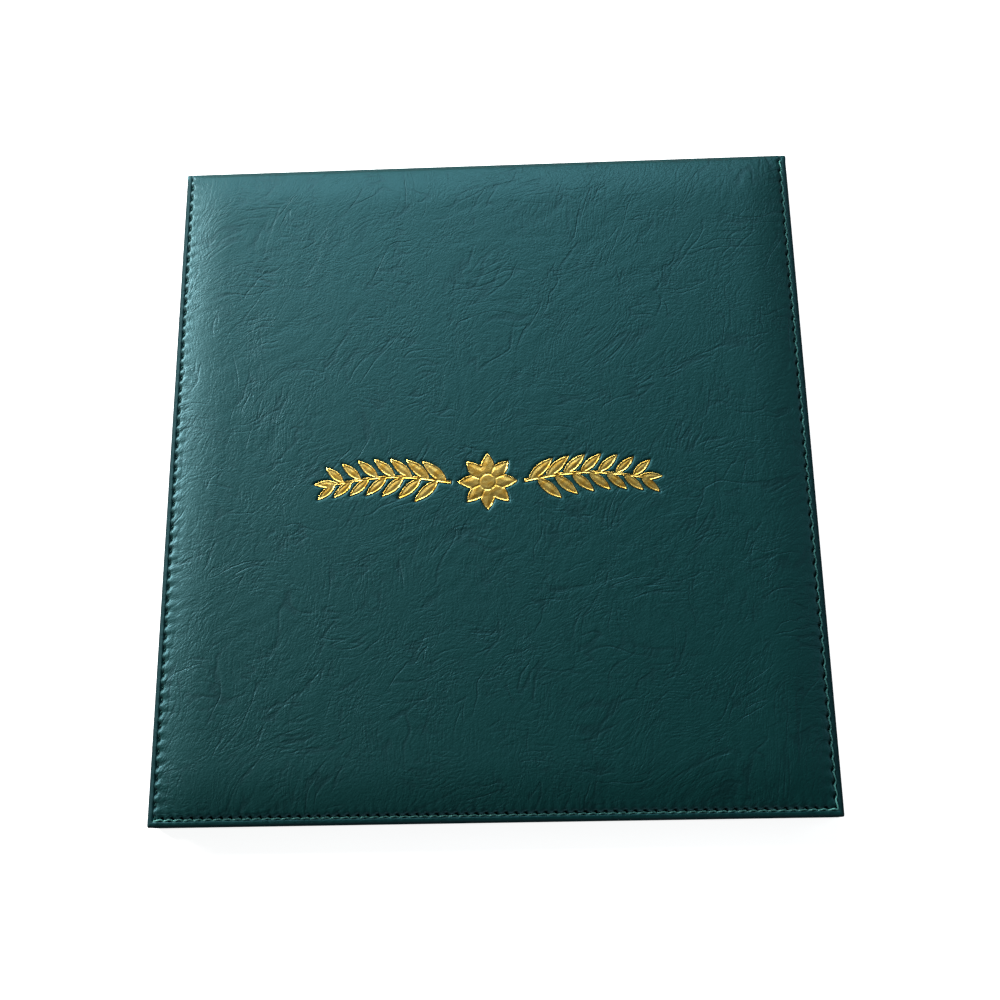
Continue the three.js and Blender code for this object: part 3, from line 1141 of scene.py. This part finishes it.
@dataclass
class CornerRibbon:
    """A satin ribbon drawn across one inner corner, its ends under the turned edges."""

    node: str
    width: float = 10.0 * MM
    thickness: float = 0.12 * MM
    selvage: float = 0.5 * MM
    along: int = 72
    across: int = 24
    ripple: float = 0.035 * MM
    rib: float = 0.02 * MM
    settle: float = 0.06 * MM
    pucker_run: float = 9.0 * MM

    def build(self) -> bpy.types.Object:
        """Builds the ribbon.

        Returns:
            The ribbon.
        """
        low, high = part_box(self.node)
        right = 1.0 if high.x > abs(low.x) else -1.0
        up = 1.0 if high.y > abs(low.y) else -1.0
        edge_x = high.x if right > 0 else low.x
        edge_y = high.y if up > 0 else low.y
        far = high.x - low.x
        near = far - self.width * math.sqrt(2.0)
        steps = np.linspace(0, 1, self.along), np.linspace(0, 1, self.across)
        share, side = np.meshgrid(*steps, indexing="ij")
        offset = near + side * (far - near)
        x = edge_x - right * offset * share
        y = edge_y - up * offset * (1.0 - share)
        edge_gap = np.minimum(side, 1.0 - side) * self.width
        ends = np.exp(-np.minimum(share, 1.0 - share) * far / self.pucker_run)
        pucker = np.cos(2.0 * math.pi * side * 4.0) * ends
        noise = gradient_noise(share * 7.0, side * 1.5 + right + 2.0 * up, 61)
        rib = self.rib * (1.0 - smoothstep(0.0, self.selvage, edge_gap))
        top = high.z - self.settle + self.ripple * (0.6 * pucker + noise) + rib
        upper = np.stack([x, y, top], axis=-1).reshape(-1, 3)
        lower = upper - (0.0, 0.0, self.thickness)
        flip = right * up > 0
        count = self.along * self.across
        faces = strip_faces(self.along, self.across, closed=False, flip=flip)
        faces += [tuple(number + count for number in face[::-1]) for face in faces]
        rim = [(row, 0) for row in range(self.along)]
        rim += [(self.along - 1, column) for column in range(1, self.across)]
        rim += [(row, self.across - 1) for row in range(self.along - 2, -1, -1)]
        rim += [(0, column) for column in range(self.across - 2, 0, -1)]
        ring = [row * self.across + column for row, column in rim]
        for first, second in zip(ring, ring[1:] + ring[:1]):
            wall = (first, second, second + count, first + count)
            faces.append(wall if flip else wall[::-1])
        along_uv = share * (far + near) / math.sqrt(2.0)
        uv = np.stack([along_uv, side * self.width], axis=-1).reshape(-1, 2)
        name = self.node.replace("ribbon", "satin")
        made = make_object(name, np.concatenate([upper, lower]), faces, np.concatenate([uv, uv]))
        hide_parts(self.node)
        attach(made, "back_panel")
        return made


def distance_to_segments(points: Array, ends: Array) -> Array:
    """Distance of points from the nearest of some segments, in plan.

    Args:
        points: Points, one row each.
        ends: Segment ends, one pair for each segment.

    Returns:
        The distances.
    """
    nearest = np.full(len(points), 1.0)
    for start, end in ends:
        span = end - start
        share = np.clip(((points - start) @ span) / max(span @ span, 1e-12), 0.0, 1.0)
        offset = points - (start + share[:, None] * span)
        nearest = np.minimum(nearest, np.hypot(offset[:, 0], offset[:, 1]))
    return nearest


def stamp_tree(nodes: Iterable[str]) -> tuple[BVHTree, float]:
    """Search tree of the stampings' top faces.

    Args:
        nodes: CAD nodes of the stampings.

    Returns:
        The tree and the height of the faces.
    """
    vertices: list[tuple[float, float, float]] = []
    faces: list[list[int]] = []
    level = 0.0
    for node in nodes:
        mesh = bpy.data.objects[node].data
        offset = len(vertices)
        vertices += [tuple(vertex.co) for vertex in mesh.vertices]
        level = max(vertex.co.z for vertex in mesh.vertices)
        for polygon in mesh.polygons:
            if min(mesh.vertices[number].co.z for number in polygon.vertices) > level - 0.01 * MM:
                faces.append([number + offset for number in polygon.vertices])
    return BVHTree.FromPolygons(vertices, faces), level


class Graph:
    """A material's node tree, built link by link."""

    def __init__(self, name: str) -> None:
        """Starts an empty material.

        Args:
            name: Material name.
        """
        self.material = bpy.data.materials.new(name)
        self.material.use_nodes = True
        self.tree = self.material.node_tree
        self.tree.nodes.clear()

    def add(self, kind: str, settings: Optional[dict] = None, **inputs: object) -> bpy.types.Node:
        """Adds a node.

        Args:
            kind: Node type.
            settings: Node properties.
            **inputs: Values or links by input name, with underscores for spaces.

        Returns:
            The node.
        """
        node = self.tree.nodes.new(kind)
        for key, value in (settings or {}).items():
            setattr(node, key, value)
        for key, value in inputs.items():
            self.feed(node.inputs[key.replace("_", " ")], value)
        return node

    def feed(self, socket: bpy.types.NodeSocket, value: object) -> None:
        """Links a socket or sets its value.

        Args:
            socket: Input socket.
            value: Output socket to link, or value to set.
        """
        if isinstance(value, bpy.types.NodeSocket):
            self.tree.links.new(value, socket)
        else:
            socket.default_value = value

    def math(
        self, operation: str, first: object, second: object = 0.0, third: object = 0.0
    ) -> bpy.types.NodeSocket:
        """Adds a math node.

        Args:
            operation: Operation name.
            first: First value or link.
            second: Second value or link.
            third: Third value or link.

        Returns:
            The result.
        """
        node = self.tree.nodes.new("ShaderNodeMath")
        node.operation = operation
        for socket, value in zip(node.inputs, (first, second, third)):
            self.feed(socket, value)
        return node.outputs[0]

    def ramp(
        self, value: object, low: float, high: float, start: float = 0.0, end: float = 1.0
    ) -> bpy.types.NodeSocket:
        """Adds a smooth ramp.

        Args:
            value: Value or link.
            low: Value at which the result is start.
            high: Value at which the result is end.
            start: Result at low.
            end: Result at high.

        Returns:
            The result.
        """
        node = self.tree.nodes.new("ShaderNodeMapRange")
        node.interpolation_type = "SMOOTHSTEP"
        for socket, part in zip(node.inputs[:5], (value, low, high, start, end)):
            self.feed(socket, part)
        return node.outputs[0]

    def mix(self, share: object, first: object, second: object) -> bpy.types.NodeSocket:
        """Mixes two colours.

        Args:
            share: Share of the second colour.
            first: First colour or link.
            second: Second colour or link.

        Returns:
            The mix.
        """
        node = self.tree.nodes.new("ShaderNodeMix")
        node.data_type = "RGBA"
        self.feed(node.inputs[0], share)
        for socket, value in ((node.inputs[6], first), (node.inputs[7], second)):
            self.feed(socket, (*value, 1.0) if isinstance(value, tuple) else value)
        return node.outputs[2]

    def place(self, kind: str, scale: float) -> bpy.types.NodeSocket:
        """Texture place scaled to a unit.

        Args:
            kind: Output of the coordinate node.
            scale: Units in a metre.

        Returns:
            The scaled place.
        """
        node = self.add("ShaderNodeTexCoord")
        scaled = self.add("ShaderNodeVectorMath", {"operation": "SCALE"})
        self.feed(scaled.inputs[0], node.outputs[kind])
        self.feed(scaled.inputs["Scale"], scale)
        return scaled.outputs[0]

    def turned(
        self, place: object, degrees: float, along: float, across: float
    ) -> bpy.types.NodeSocket:
        """Turns a place in plan and stretches it.

        Args:
            place: Place in millimetres.
            degrees: Direction of the long axis.
            along: Size of a unit along it, in millimetres.
            across: Size of a unit across it, in millimetres.

        Returns:
            The place in those units.
        """
        turned = self.add("ShaderNodeVectorRotate", {"rotation_type": "Z_AXIS"})
        self.feed(turned.inputs["Vector"], place)
        self.feed(turned.inputs["Angle"], -math.radians(degrees))
        scaled = self.add("ShaderNodeVectorMath", {"operation": "MULTIPLY"})
        self.feed(scaled.inputs[0], turned.outputs[0])
        self.feed(scaled.inputs[1], (1.0 / along, 1.0 / across, 1.0 / across))
        return scaled.outputs[0]

    def noise(self, place: object, detail: float = 2.0, roughness: float = 0.5) -> bpy.types.Node:
        """Adds plane noise with cells of one unit.

        Args:
            place: Place link.
            detail: Number of finer layers.
            roughness: Strength of the finer layers.

        Returns:
            The noise node.
        """
        settings = {"noise_dimensions": "2D"}
        node = self.add(
            "ShaderNodeTexNoise", settings, Scale=1.0, Detail=detail, Roughness=roughness
        )
        self.feed(node.inputs["Vector"], place)
        return node

    def warped(self, place: object, cell: float, amount: float) -> bpy.types.NodeSocket:
        """Shifts a place by smooth noise.

        Args:
            place: Place in millimetres.
            cell: Size of the noise cells.
            amount: Largest shift, about.

        Returns:
            The shifted place.
        """
        noise = self.noise(self.turned(place, 0.0, cell, cell), 1.0)
        centred = self.add("ShaderNodeVectorMath", {"operation": "SUBTRACT"})
        self.feed(centred.inputs[0], noise.outputs["Color"])
        self.feed(centred.inputs[1], (0.5, 0.5, 0.5))
        scaled = self.add("ShaderNodeVectorMath", {"operation": "SCALE"})
        self.feed(scaled.inputs[0], centred.outputs[0])
        self.feed(scaled.inputs["Scale"], amount * 2.0)
        total = self.add("ShaderNodeVectorMath", {"operation": "ADD"})
        self.feed(total.inputs[0], place)
        self.feed(total.inputs[1], scaled.outputs[0])
        return total.outputs[0]

    def bump(self, height: object, distance: float, strength: float = 1.0) -> bpy.types.NodeSocket:
        """Turns a height into a normal.

        Args:
            height: Height link, from 0 to 1.
            distance: Depth of one unit of height, in metres.
            strength: Share of the effect.

        Returns:
            The normal.
        """
        node = self.add("ShaderNodeBump", None, Strength=strength, Distance=distance, Height=height)
        return node.outputs[0]

    def finish(self, shader: bpy.types.NodeSocket) -> bpy.types.Material:
        """Ends the material with its surface.

        Args:
            shader: Surface shader.

        Returns:
            The material.
        """
        output = self.add("ShaderNodeOutputMaterial")
        self.tree.links.new(shader, output.inputs["Surface"])
        return self.material


@dataclass(frozen=True)
class CreaseFamily:
    """Thin creases of one leading direction, seen only in patches."""

    degrees: float
    along: float
    across: float
    line: float
    depth: float
    patch: tuple[float, float, float]
    shown: tuple[float, float]

    def height(self, graph: "Graph", place: object) -> bpy.types.NodeSocket:
        """Height of the creases.

        Args:
            graph: Material's nodes.
            place: Place in millimetres.

        Returns:
            Height in millimetres, zero off the creases.
        """
        lines = graph.noise(graph.turned(place, self.degrees, self.along, self.across), 1.0, 0.35)
        centred = graph.math("SUBTRACT", lines.outputs[0], 0.5)
        groove = graph.ramp(graph.math("ABSOLUTE", centred), 0.0, self.line, 1.0, 0.0)
        turn, long_size, short_size = self.patch
        patch = graph.noise(graph.turned(place, turn, long_size, short_size), 1.0)
        shown = graph.ramp(patch.outputs[0], self.shown[0], self.shown[1], 0.0, -self.depth)
        return graph.math("MULTIPLY", groove, shown)


@dataclass(frozen=True)
class Leatherette:
    """Coated cloth with thin flowing creases, soft wrinkles and a fine pebble, with painted shade in
    the creases, pits, groove and edges.
    """

    base: Rgb = (0.0010, 0.0225, 0.0198)
    # Painted shade: a darker tone in the creases, and a near-black tone that the shade attribute
    # mixes in over the pits, groove, stamp outlines and edges.
    crease: Rgb = (0.0008, 0.0100, 0.0095)
    hole: Rgb = (0.0004, 0.0016, 0.0016)
    tint: Rgb = (0.25, 0.84, 1.00)
    roughness: float = 0.46
    specular: float = 0.5
    wrinkle_depth: float = 0.065
    pebble_depth: float = 0.12
    relief: float = 0.8
    creases: tuple[CreaseFamily, ...] = (
        CreaseFamily(12.0, 19.0, 4.6, 0.085, 0.095, (15.0, 30.0, 11.0), (0.51, 0.72)),
        CreaseFamily(70.0, 21.0, 5.0, 0.085, 0.095, (64.0, 32.0, 11.0), (0.51, 0.72)),
        CreaseFamily(16.0, 5.4, 1.8, 0.170, 0.047, (30.0, 24.0, 14.0), (0.30, 0.62)),
        CreaseFamily(80.0, 5.4, 1.7, 0.170, 0.047, (80.0, 22.0, 14.0), (0.30, 0.62)),
    )

    def material(self) -> bpy.types.Material:
        """Makes the material.

        Returns:
            The material.
        """
        graph = Graph("leatherette")
        place = graph.place("UV", 1000.0)
        flowing = graph.warped(graph.warped(place, 55.0, 13.0), 11.0, 1.5)
        wrinkles = graph.noise(graph.turned(flowing, 40.0, 3.2, 2.1), 3.0, 0.55).outputs[0]
        pebble = graph.noise(graph.turned(place, 35.0, 1.3, 0.85), 2.0, 0.6).outputs[0]
        lines: object = 0.0
        for family in self.creases:
            lines = graph.math("ADD", lines, family.height(graph, flowing))
        height = graph.math("MULTIPLY_ADD", wrinkles, self.wrinkle_depth, lines)
        height = graph.math("MULTIPLY_ADD", pebble, self.pebble_depth, height)
        normal = graph.bump(height, 1.0 * MM, self.relief)
        # Painted shade: darker in the creases, then near-black where the shade attribute is set,
        # which also raises the roughness.
        deep = graph.ramp(lines, -0.12, -0.01, 0.55, 0.0)
        tone = graph.mix(deep, self.base, self.crease)
        painted_shade = graph.add("ShaderNodeAttribute", {"attribute_name": "shade"}).outputs["Fac"]
        tone = graph.mix(graph.math("MULTIPLY", painted_shade, 0.95), tone, self.hole)
        rough = graph.math("MULTIPLY_ADD", wrinkles, 0.08, self.roughness)
        rough = graph.math("MULTIPLY_ADD", painted_shade, 0.5, rough)
        surface = graph.add(
            "ShaderNodeBsdfPrincipled", None, Base_Color=tone, Roughness=rough, Normal=normal,
            Specular_IOR_Level=self.specular,
        )
        surface.inputs["Specular Tint"].default_value = (*self.tint, 1.0)
        return graph.finish(surface.outputs[0])


@dataclass(frozen=True)
class Thread:
    """Twisted sewing thread."""

    base: Rgb = (0.115, 0.360, 0.325)
    shadow: Rgb = (0.026, 0.150, 0.132)
    roughness: float = 0.6
    specular: float = 0.25

    def material(self) -> bpy.types.Material:
        """Makes the material.

        Returns:
            The material.
        """
        graph = Graph("thread")
        place = graph.turned(graph.place("UV", 1000.0), 40.0, 1.2, 0.28)
        ply = graph.noise(place, 1.0).outputs[0]
        tone = graph.mix(graph.ramp(ply, 0.35, 0.65), self.shadow, self.base)
        surface = graph.add(
            "ShaderNodeBsdfPrincipled", None, Base_Color=tone, Roughness=self.roughness,
            Normal=graph.bump(ply, 0.12 * MM), Specular_IOR_Level=self.specular,
        )
        return graph.finish(surface.outputs[0])


@dataclass(frozen=True)
class GoldFoil:
    """Stamped metal foil, slightly worn and uneven."""

    base: Rgb = (1.00, 0.72, 0.19)
    worn: Rgb = (0.80, 0.46, 0.07)
    roughness: float = 0.33

    def material(self) -> bpy.types.Material:
        """Makes the material.

        Returns:
            The material.
        """
        graph = Graph("foil")
        place = graph.place("UV", 1000.0)
        wide = graph.noise(graph.turned(place, 25.0, 4.0, 2.6), 3.0, 0.6).outputs[0]
        fine = graph.noise(graph.turned(place, 0.0, 0.45, 0.45), 3.0, 0.6).outputs[0]
        tone = graph.mix(graph.ramp(wide, 0.35, 0.68), self.base, self.worn)
        normal = graph.bump(graph.math("MULTIPLY_ADD", fine, 0.35, wide), 0.05 * MM)
        surface = graph.add(
            "ShaderNodeBsdfPrincipled", None, Base_Color=tone, Metallic=1.0,
            Roughness=self.roughness, Normal=normal,
        )
        return graph.finish(surface.outputs[0])


class Weave(Enum):
    """Kinds of woven cloth, with the name of the material for each."""

    MOIRE = "moire_lining"
    SATIN = "satin_ribbon"
    FOAM = "foam"
    BOARD = "board"


@dataclass(frozen=True)
class PlainStuff:
    """Cloth, foam or board of one colour with its own fine texture."""

    kind: Weave
    base: Rgb
    light: Rgb
    roughness: float
    sheen: float = 0.0
    specular: float = 0.2

    def material(self) -> bpy.types.Material:
        """Makes the material.

        Returns:
            The material.
        """
        graph = Graph(self.kind.value)
        place = graph.place("UV" if self.kind is Weave.SATIN else "Object", 1000.0)
        if self.kind is Weave.MOIRE:
            height, share, depth = self.moire(graph, place)
        elif self.kind is Weave.SATIN:
            height = graph.noise(graph.turned(place, 90.0, 6.0, 0.3), 1.0).outputs[0]
            share, depth = graph.ramp(height, 0.3, 0.7), 0.05 * MM
        else:
            height = graph.noise(graph.turned(place, 0.0, 0.6, 0.6), 4.0, 0.65).outputs[0]
            share, depth = graph.ramp(height, 0.35, 0.65), 0.15 * MM
        tone = graph.mix(share, self.base, self.light)
        surface = graph.add(
            "ShaderNodeBsdfPrincipled", None, Base_Color=tone, Roughness=self.roughness,
            Normal=graph.bump(height, depth), Sheen_Weight=self.sheen, Sheen_Roughness=0.4,
            Specular_IOR_Level=self.specular,
        )
        return graph.finish(surface.outputs[0])

    def moire(self, graph: Graph, place: object) -> tuple[object, object, float]:
        """Ribbed satin with a watered figure.

        Args:
            graph: Material's nodes.
            place: Place in millimetres.

        Returns:
            Height, share of the light colour and depth.
        """
        flowing = graph.warped(place, 38.0, 12.0)
        figure = graph.noise(graph.turned(flowing, 90.0, 60.0, 9.0), 2.0, 0.45).outputs[0]
        bands = graph.math("SINE", graph.math("MULTIPLY", figure, 24.0))
        rib = graph.add("ShaderNodeTexWave", {"bands_direction": "Y"}, Scale=0.55)
        graph.feed(rib.inputs["Vector"], place)
        share = graph.ramp(bands, -0.6, 0.9)
        raised = graph.math("MULTIPLY", share, 0.5)
        height = graph.math("MULTIPLY_ADD", rib.outputs["Fac"], 0.5, raised)
        return height, share, 0.06 * MM


def assign(material: bpy.types.Material, *names: str) -> None:
    """Gives objects a material.

    Args:
        material: The material.
        *names: Object names.
    """
    for name in names:
        slots = bpy.data.objects[name].data.materials
        slots.clear()
        slots.append(material)


@dataclass(frozen=True)
class Softbox:
    """A soft rectangular light."""

    name: str
    place: tuple[float, float, float]
    target: tuple[float, float, float]
    size: tuple[float, float]
    power: float
    colour: Rgb

    def add(self) -> None:
        """Adds the light."""
        light = bpy.data.lights.new(self.name, "AREA")
        light.shape = "RECTANGLE"
        light.size, light.size_y = self.size
        light.energy = self.power
        light.color = self.colour
        made = bpy.data.objects.new(self.name, light)
        made.location = self.place
        direction = Vector(self.target) - Vector(self.place)
        made.rotation_euler = direction.to_track_quat("-Z", "Y").to_euler()
        bpy.context.scene.collection.objects.link(made)


@dataclass
class Studio:
    """Camera, floor, surroundings and lights."""

    camera_place: tuple[float, float, float] = (0.021775, -0.156412, 0.505070)
    camera_turn: tuple[float, float, float] = (0.279268, 0.038360, -0.014988)
    lens: float = 43.84
    floor_size: float = 60.0
    bounce: Rgb = (0.34, 0.34, 0.34)
    floor_colour: Rgb = (0.8, 0.8, 0.8)
    ambient: Rgb = (0.026, 0.028, 0.028)
    glow_reach: tuple[float, float] = (0.5, 3.0)
    glow_level: tuple[float, float] = (0.90, 1.0)
    lights: list[Softbox] = field(default_factory=lambda: [
        Softbox(
            "key", place=(-0.18, 1.14, 0.94), target=(0.0, 0.05, 0.0),
            size=(0.95, 0.45), power=18.6, colour=(0.88, 0.94, 1.0),
        ),
        Softbox(
            "left", place=(-0.86, 0.50, 0.32), target=(-0.08, 0.08, 0.0),
            size=(0.50, 0.26), power=31.0, colour=(1.0, 0.96, 0.95),
        ),
        Softbox(
            "right", place=(0.86, 0.10, 0.42), target=(0.08, 0.0, 0.0),
            size=(0.50, 0.30), power=1.5, colour=(0.80, 0.95, 1.0),
        ),
        Softbox(
            "low", place=(0.10, -1.20, 0.14), target=(0.0, -0.14, 0.0),
            size=(0.90, 0.16), power=3.0, colour=(0.85, 0.96, 1.0),
        ),
    ])

    def add_camera(self) -> None:
        """Adds the camera."""
        data = bpy.data.cameras.new("camera")
        data.sensor_width = 36.0
        data.lens = self.lens
        data.dof.use_dof = False
        camera = bpy.data.objects.new("camera", data)
        camera.location = self.camera_place
        camera.rotation_euler = self.camera_turn
        bpy.context.scene.collection.objects.link(camera)
        bpy.context.scene.camera = camera

    def add_floor(self) -> None:
        """Adds a white floor that keeps the cover's shadow."""
        half = self.floor_size / 2
        plan = ((-half, -half), (half, -half), (half, half), (-half, half))
        corners = np.array([(x, y, 0.0) for x, y in plan])
        floor = make_object("floor", corners, [(0, 1, 2, 3)])
        graph = Graph("floor")
        seen = graph.add("ShaderNodeLightPath").outputs["Is Camera Ray"]
        tone = graph.mix(seen, self.bounce, self.floor_colour)
        matte = graph.add("ShaderNodeBsdfDiffuse", None, Color=tone)
        glow = graph.add("ShaderNodeEmission", None, Color=(1.0, 1.0, 1.0, 1.0))
        away = graph.add("ShaderNodeVectorMath", {"operation": "LENGTH"})
        graph.feed(away.inputs[0], graph.place("Object", 1.0))
        level = graph.ramp(away.outputs["Value"], *self.glow_reach, *self.glow_level)
        graph.feed(glow.inputs["Strength"], graph.math("MULTIPLY", seen, level))
        total = graph.add("ShaderNodeAddShader")
        graph.feed(total.inputs[0], matte.outputs[0])
        graph.feed(total.inputs[1], glow.outputs[0])
        floor.data.materials.append(graph.finish(total.outputs[0]))

    def add_surroundings(self) -> None:
        """Adds an even grey surround, white to the camera."""
        world = bpy.data.worlds.new("surroundings")
        world.use_nodes = True
        bpy.context.scene.world = world
        tree = world.node_tree
        background = tree.nodes["Background"]
        path = tree.nodes.new("ShaderNodeLightPath")
        mix = tree.nodes.new("ShaderNodeMix")
        mix.data_type = "RGBA"
        tree.links.new(path.outputs["Is Camera Ray"], mix.inputs[0])
        mix.inputs[6].default_value = (*self.ambient, 1.0)
        mix.inputs[7].default_value = (1.0, 1.0, 1.0, 1.0)
        tree.links.new(mix.outputs[2], background.inputs["Color"])
        background.inputs["Strength"].default_value = 1.0

    def build(self) -> None:
        """Sets up the studio."""
        self.add_camera()
        self.add_floor()
        self.add_surroundings()
        for light in self.lights:
            light.add()
        bpy.context.scene.view_settings.view_transform = "Standard"


@dataclass
class DiplomaCover:
    """The whole cover."""

    sizes: CoverSizes
    stamps: tuple[str, ...] = ("foil_left_sprig", "foil_rosette", "foil_right_sprig")
    front_cell: float = 1.42 * MM
    back_cell: float = 1.9 * MM
    front_seat: float = 0.50 * MM
    back_seat: float = 0.56 * MM
    bobbin_level: float = 0.42 * MM
    bobbin_swing: float = 0.1 * MM
    bobbin_radius: float = 0.2 * MM
    back_arch: float = 0.24 * MM
    back_radius: float = 0.26 * MM
    rosette_petals: int = 8
    pieces: dict[str, list[bpy.types.Object]] = field(default_factory=dict)

    def build(self) -> None:
        """Builds the skins, seams and stampings."""
        tree, level = stamp_tree(self.stamps)
        seam = Seam(self.sizes)
        path = FoldPath(self.sizes)
        boxes = [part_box(node) for node in self.stamps]
        low = min(box[0].x for box in boxes), min(box[0].y for box in boxes)
        high = max(box[1].x for box in boxes), max(box[1].y for box in boxes)
        front = Relief(
            self.sizes, seam, padded=True, stamps=tree,
            stamp_level=level, stamp_low=low, stamp_high=high,
        )
        back = Relief(self.sizes, seam, padded=False)
        skins = [
            Skin(Side.FRONT, self.sizes, path, front, self.front_cell).build(),
            Skin(Side.BACK, self.sizes, path, back, self.back_cell).build(),
        ]
        threads = []
        for side in Side:
            seated = self.front_seat if side is Side.FRONT else self.back_seat
            outer = self.sizes.middle + side.value * (self.sizes.middle - seated)
            inner = self.sizes.middle + side.value * self.bobbin_level
            needle = Stitching(side, seam, f"{side.word}_needle_thread", outer, side.value)
            bobbin = Stitching(side, seam, f"{side.word}_bobbin_thread", inner, -side.value)
            bobbin.swing = bobbin.arch = self.bobbin_swing
            bobbin.radius = self.bobbin_radius
            if side is Side.FRONT:
                needle.lapped = 1.0
            else:
                needle.arch, needle.radius = self.back_arch, self.back_radius
            threads += [needle.build(), bobbin.build()]
        foils = []
        for node in self.stamps:
            petals = self.rosette_petals if "rosette" in node else 0
            foils.append(StampedFoil(node, self.sizes, petals=petals).build(front))
        corners = [
            f"ribbon_{row}_{side}" for row in ("bottom", "fold") for side in ("left", "right")
        ]
        ribbons = [CornerRibbon(node).build() for node in corners]
        self.pieces = {"leather": skins, "thread": threads, "foil": foils, "ribbon": ribbons}

    def dress(self) -> None:
        """Gives every visible surface its finish."""
        satin = PlainStuff(
            Weave.SATIN, (0.016, 0.105, 0.095), (0.034, 0.190, 0.170),
            roughness=0.38, sheen=0.1, specular=0.4,
        )
        finishes = {
            "leather": Leatherette(), "thread": Thread(), "foil": GoldFoil(), "ribbon": satin,
        }
        for kind, finish in finishes.items():
            material = finish.material()
            assign(material, *(piece.name for piece in self.pieces[kind]))
        lining = PlainStuff(
            Weave.MOIRE, (0.0065, 0.055, 0.050), (0.0098, 0.078, 0.072),
            roughness=0.6, sheen=0.02, specular=0.12,
        )
        foam = PlainStuff(Weave.FOAM, (0.55, 0.54, 0.50), (0.70, 0.69, 0.65), roughness=0.9)
        board = PlainStuff(
            Weave.BOARD, (0.026, 0.027, 0.025), (0.048, 0.048, 0.044), roughness=0.85
        )
        assign(lining.material(), "front_lining", "back_lining", "spine_liner")
        assign(foam.material(), "front_foam_pad")
        assign(board.material(), "front_board", "back_board")


def main() -> None:
    """Builds the dressed cover and its studio."""
    logging.basicConfig(level=logging.INFO, format="%(name)s: %(message)s")
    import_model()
    studio = Studio()
    studio.build()
    cover = DiplomaCover(CoverSizes.read())
    cover.build()
    cover.dress()


if __name__ == "__main__":
    main()
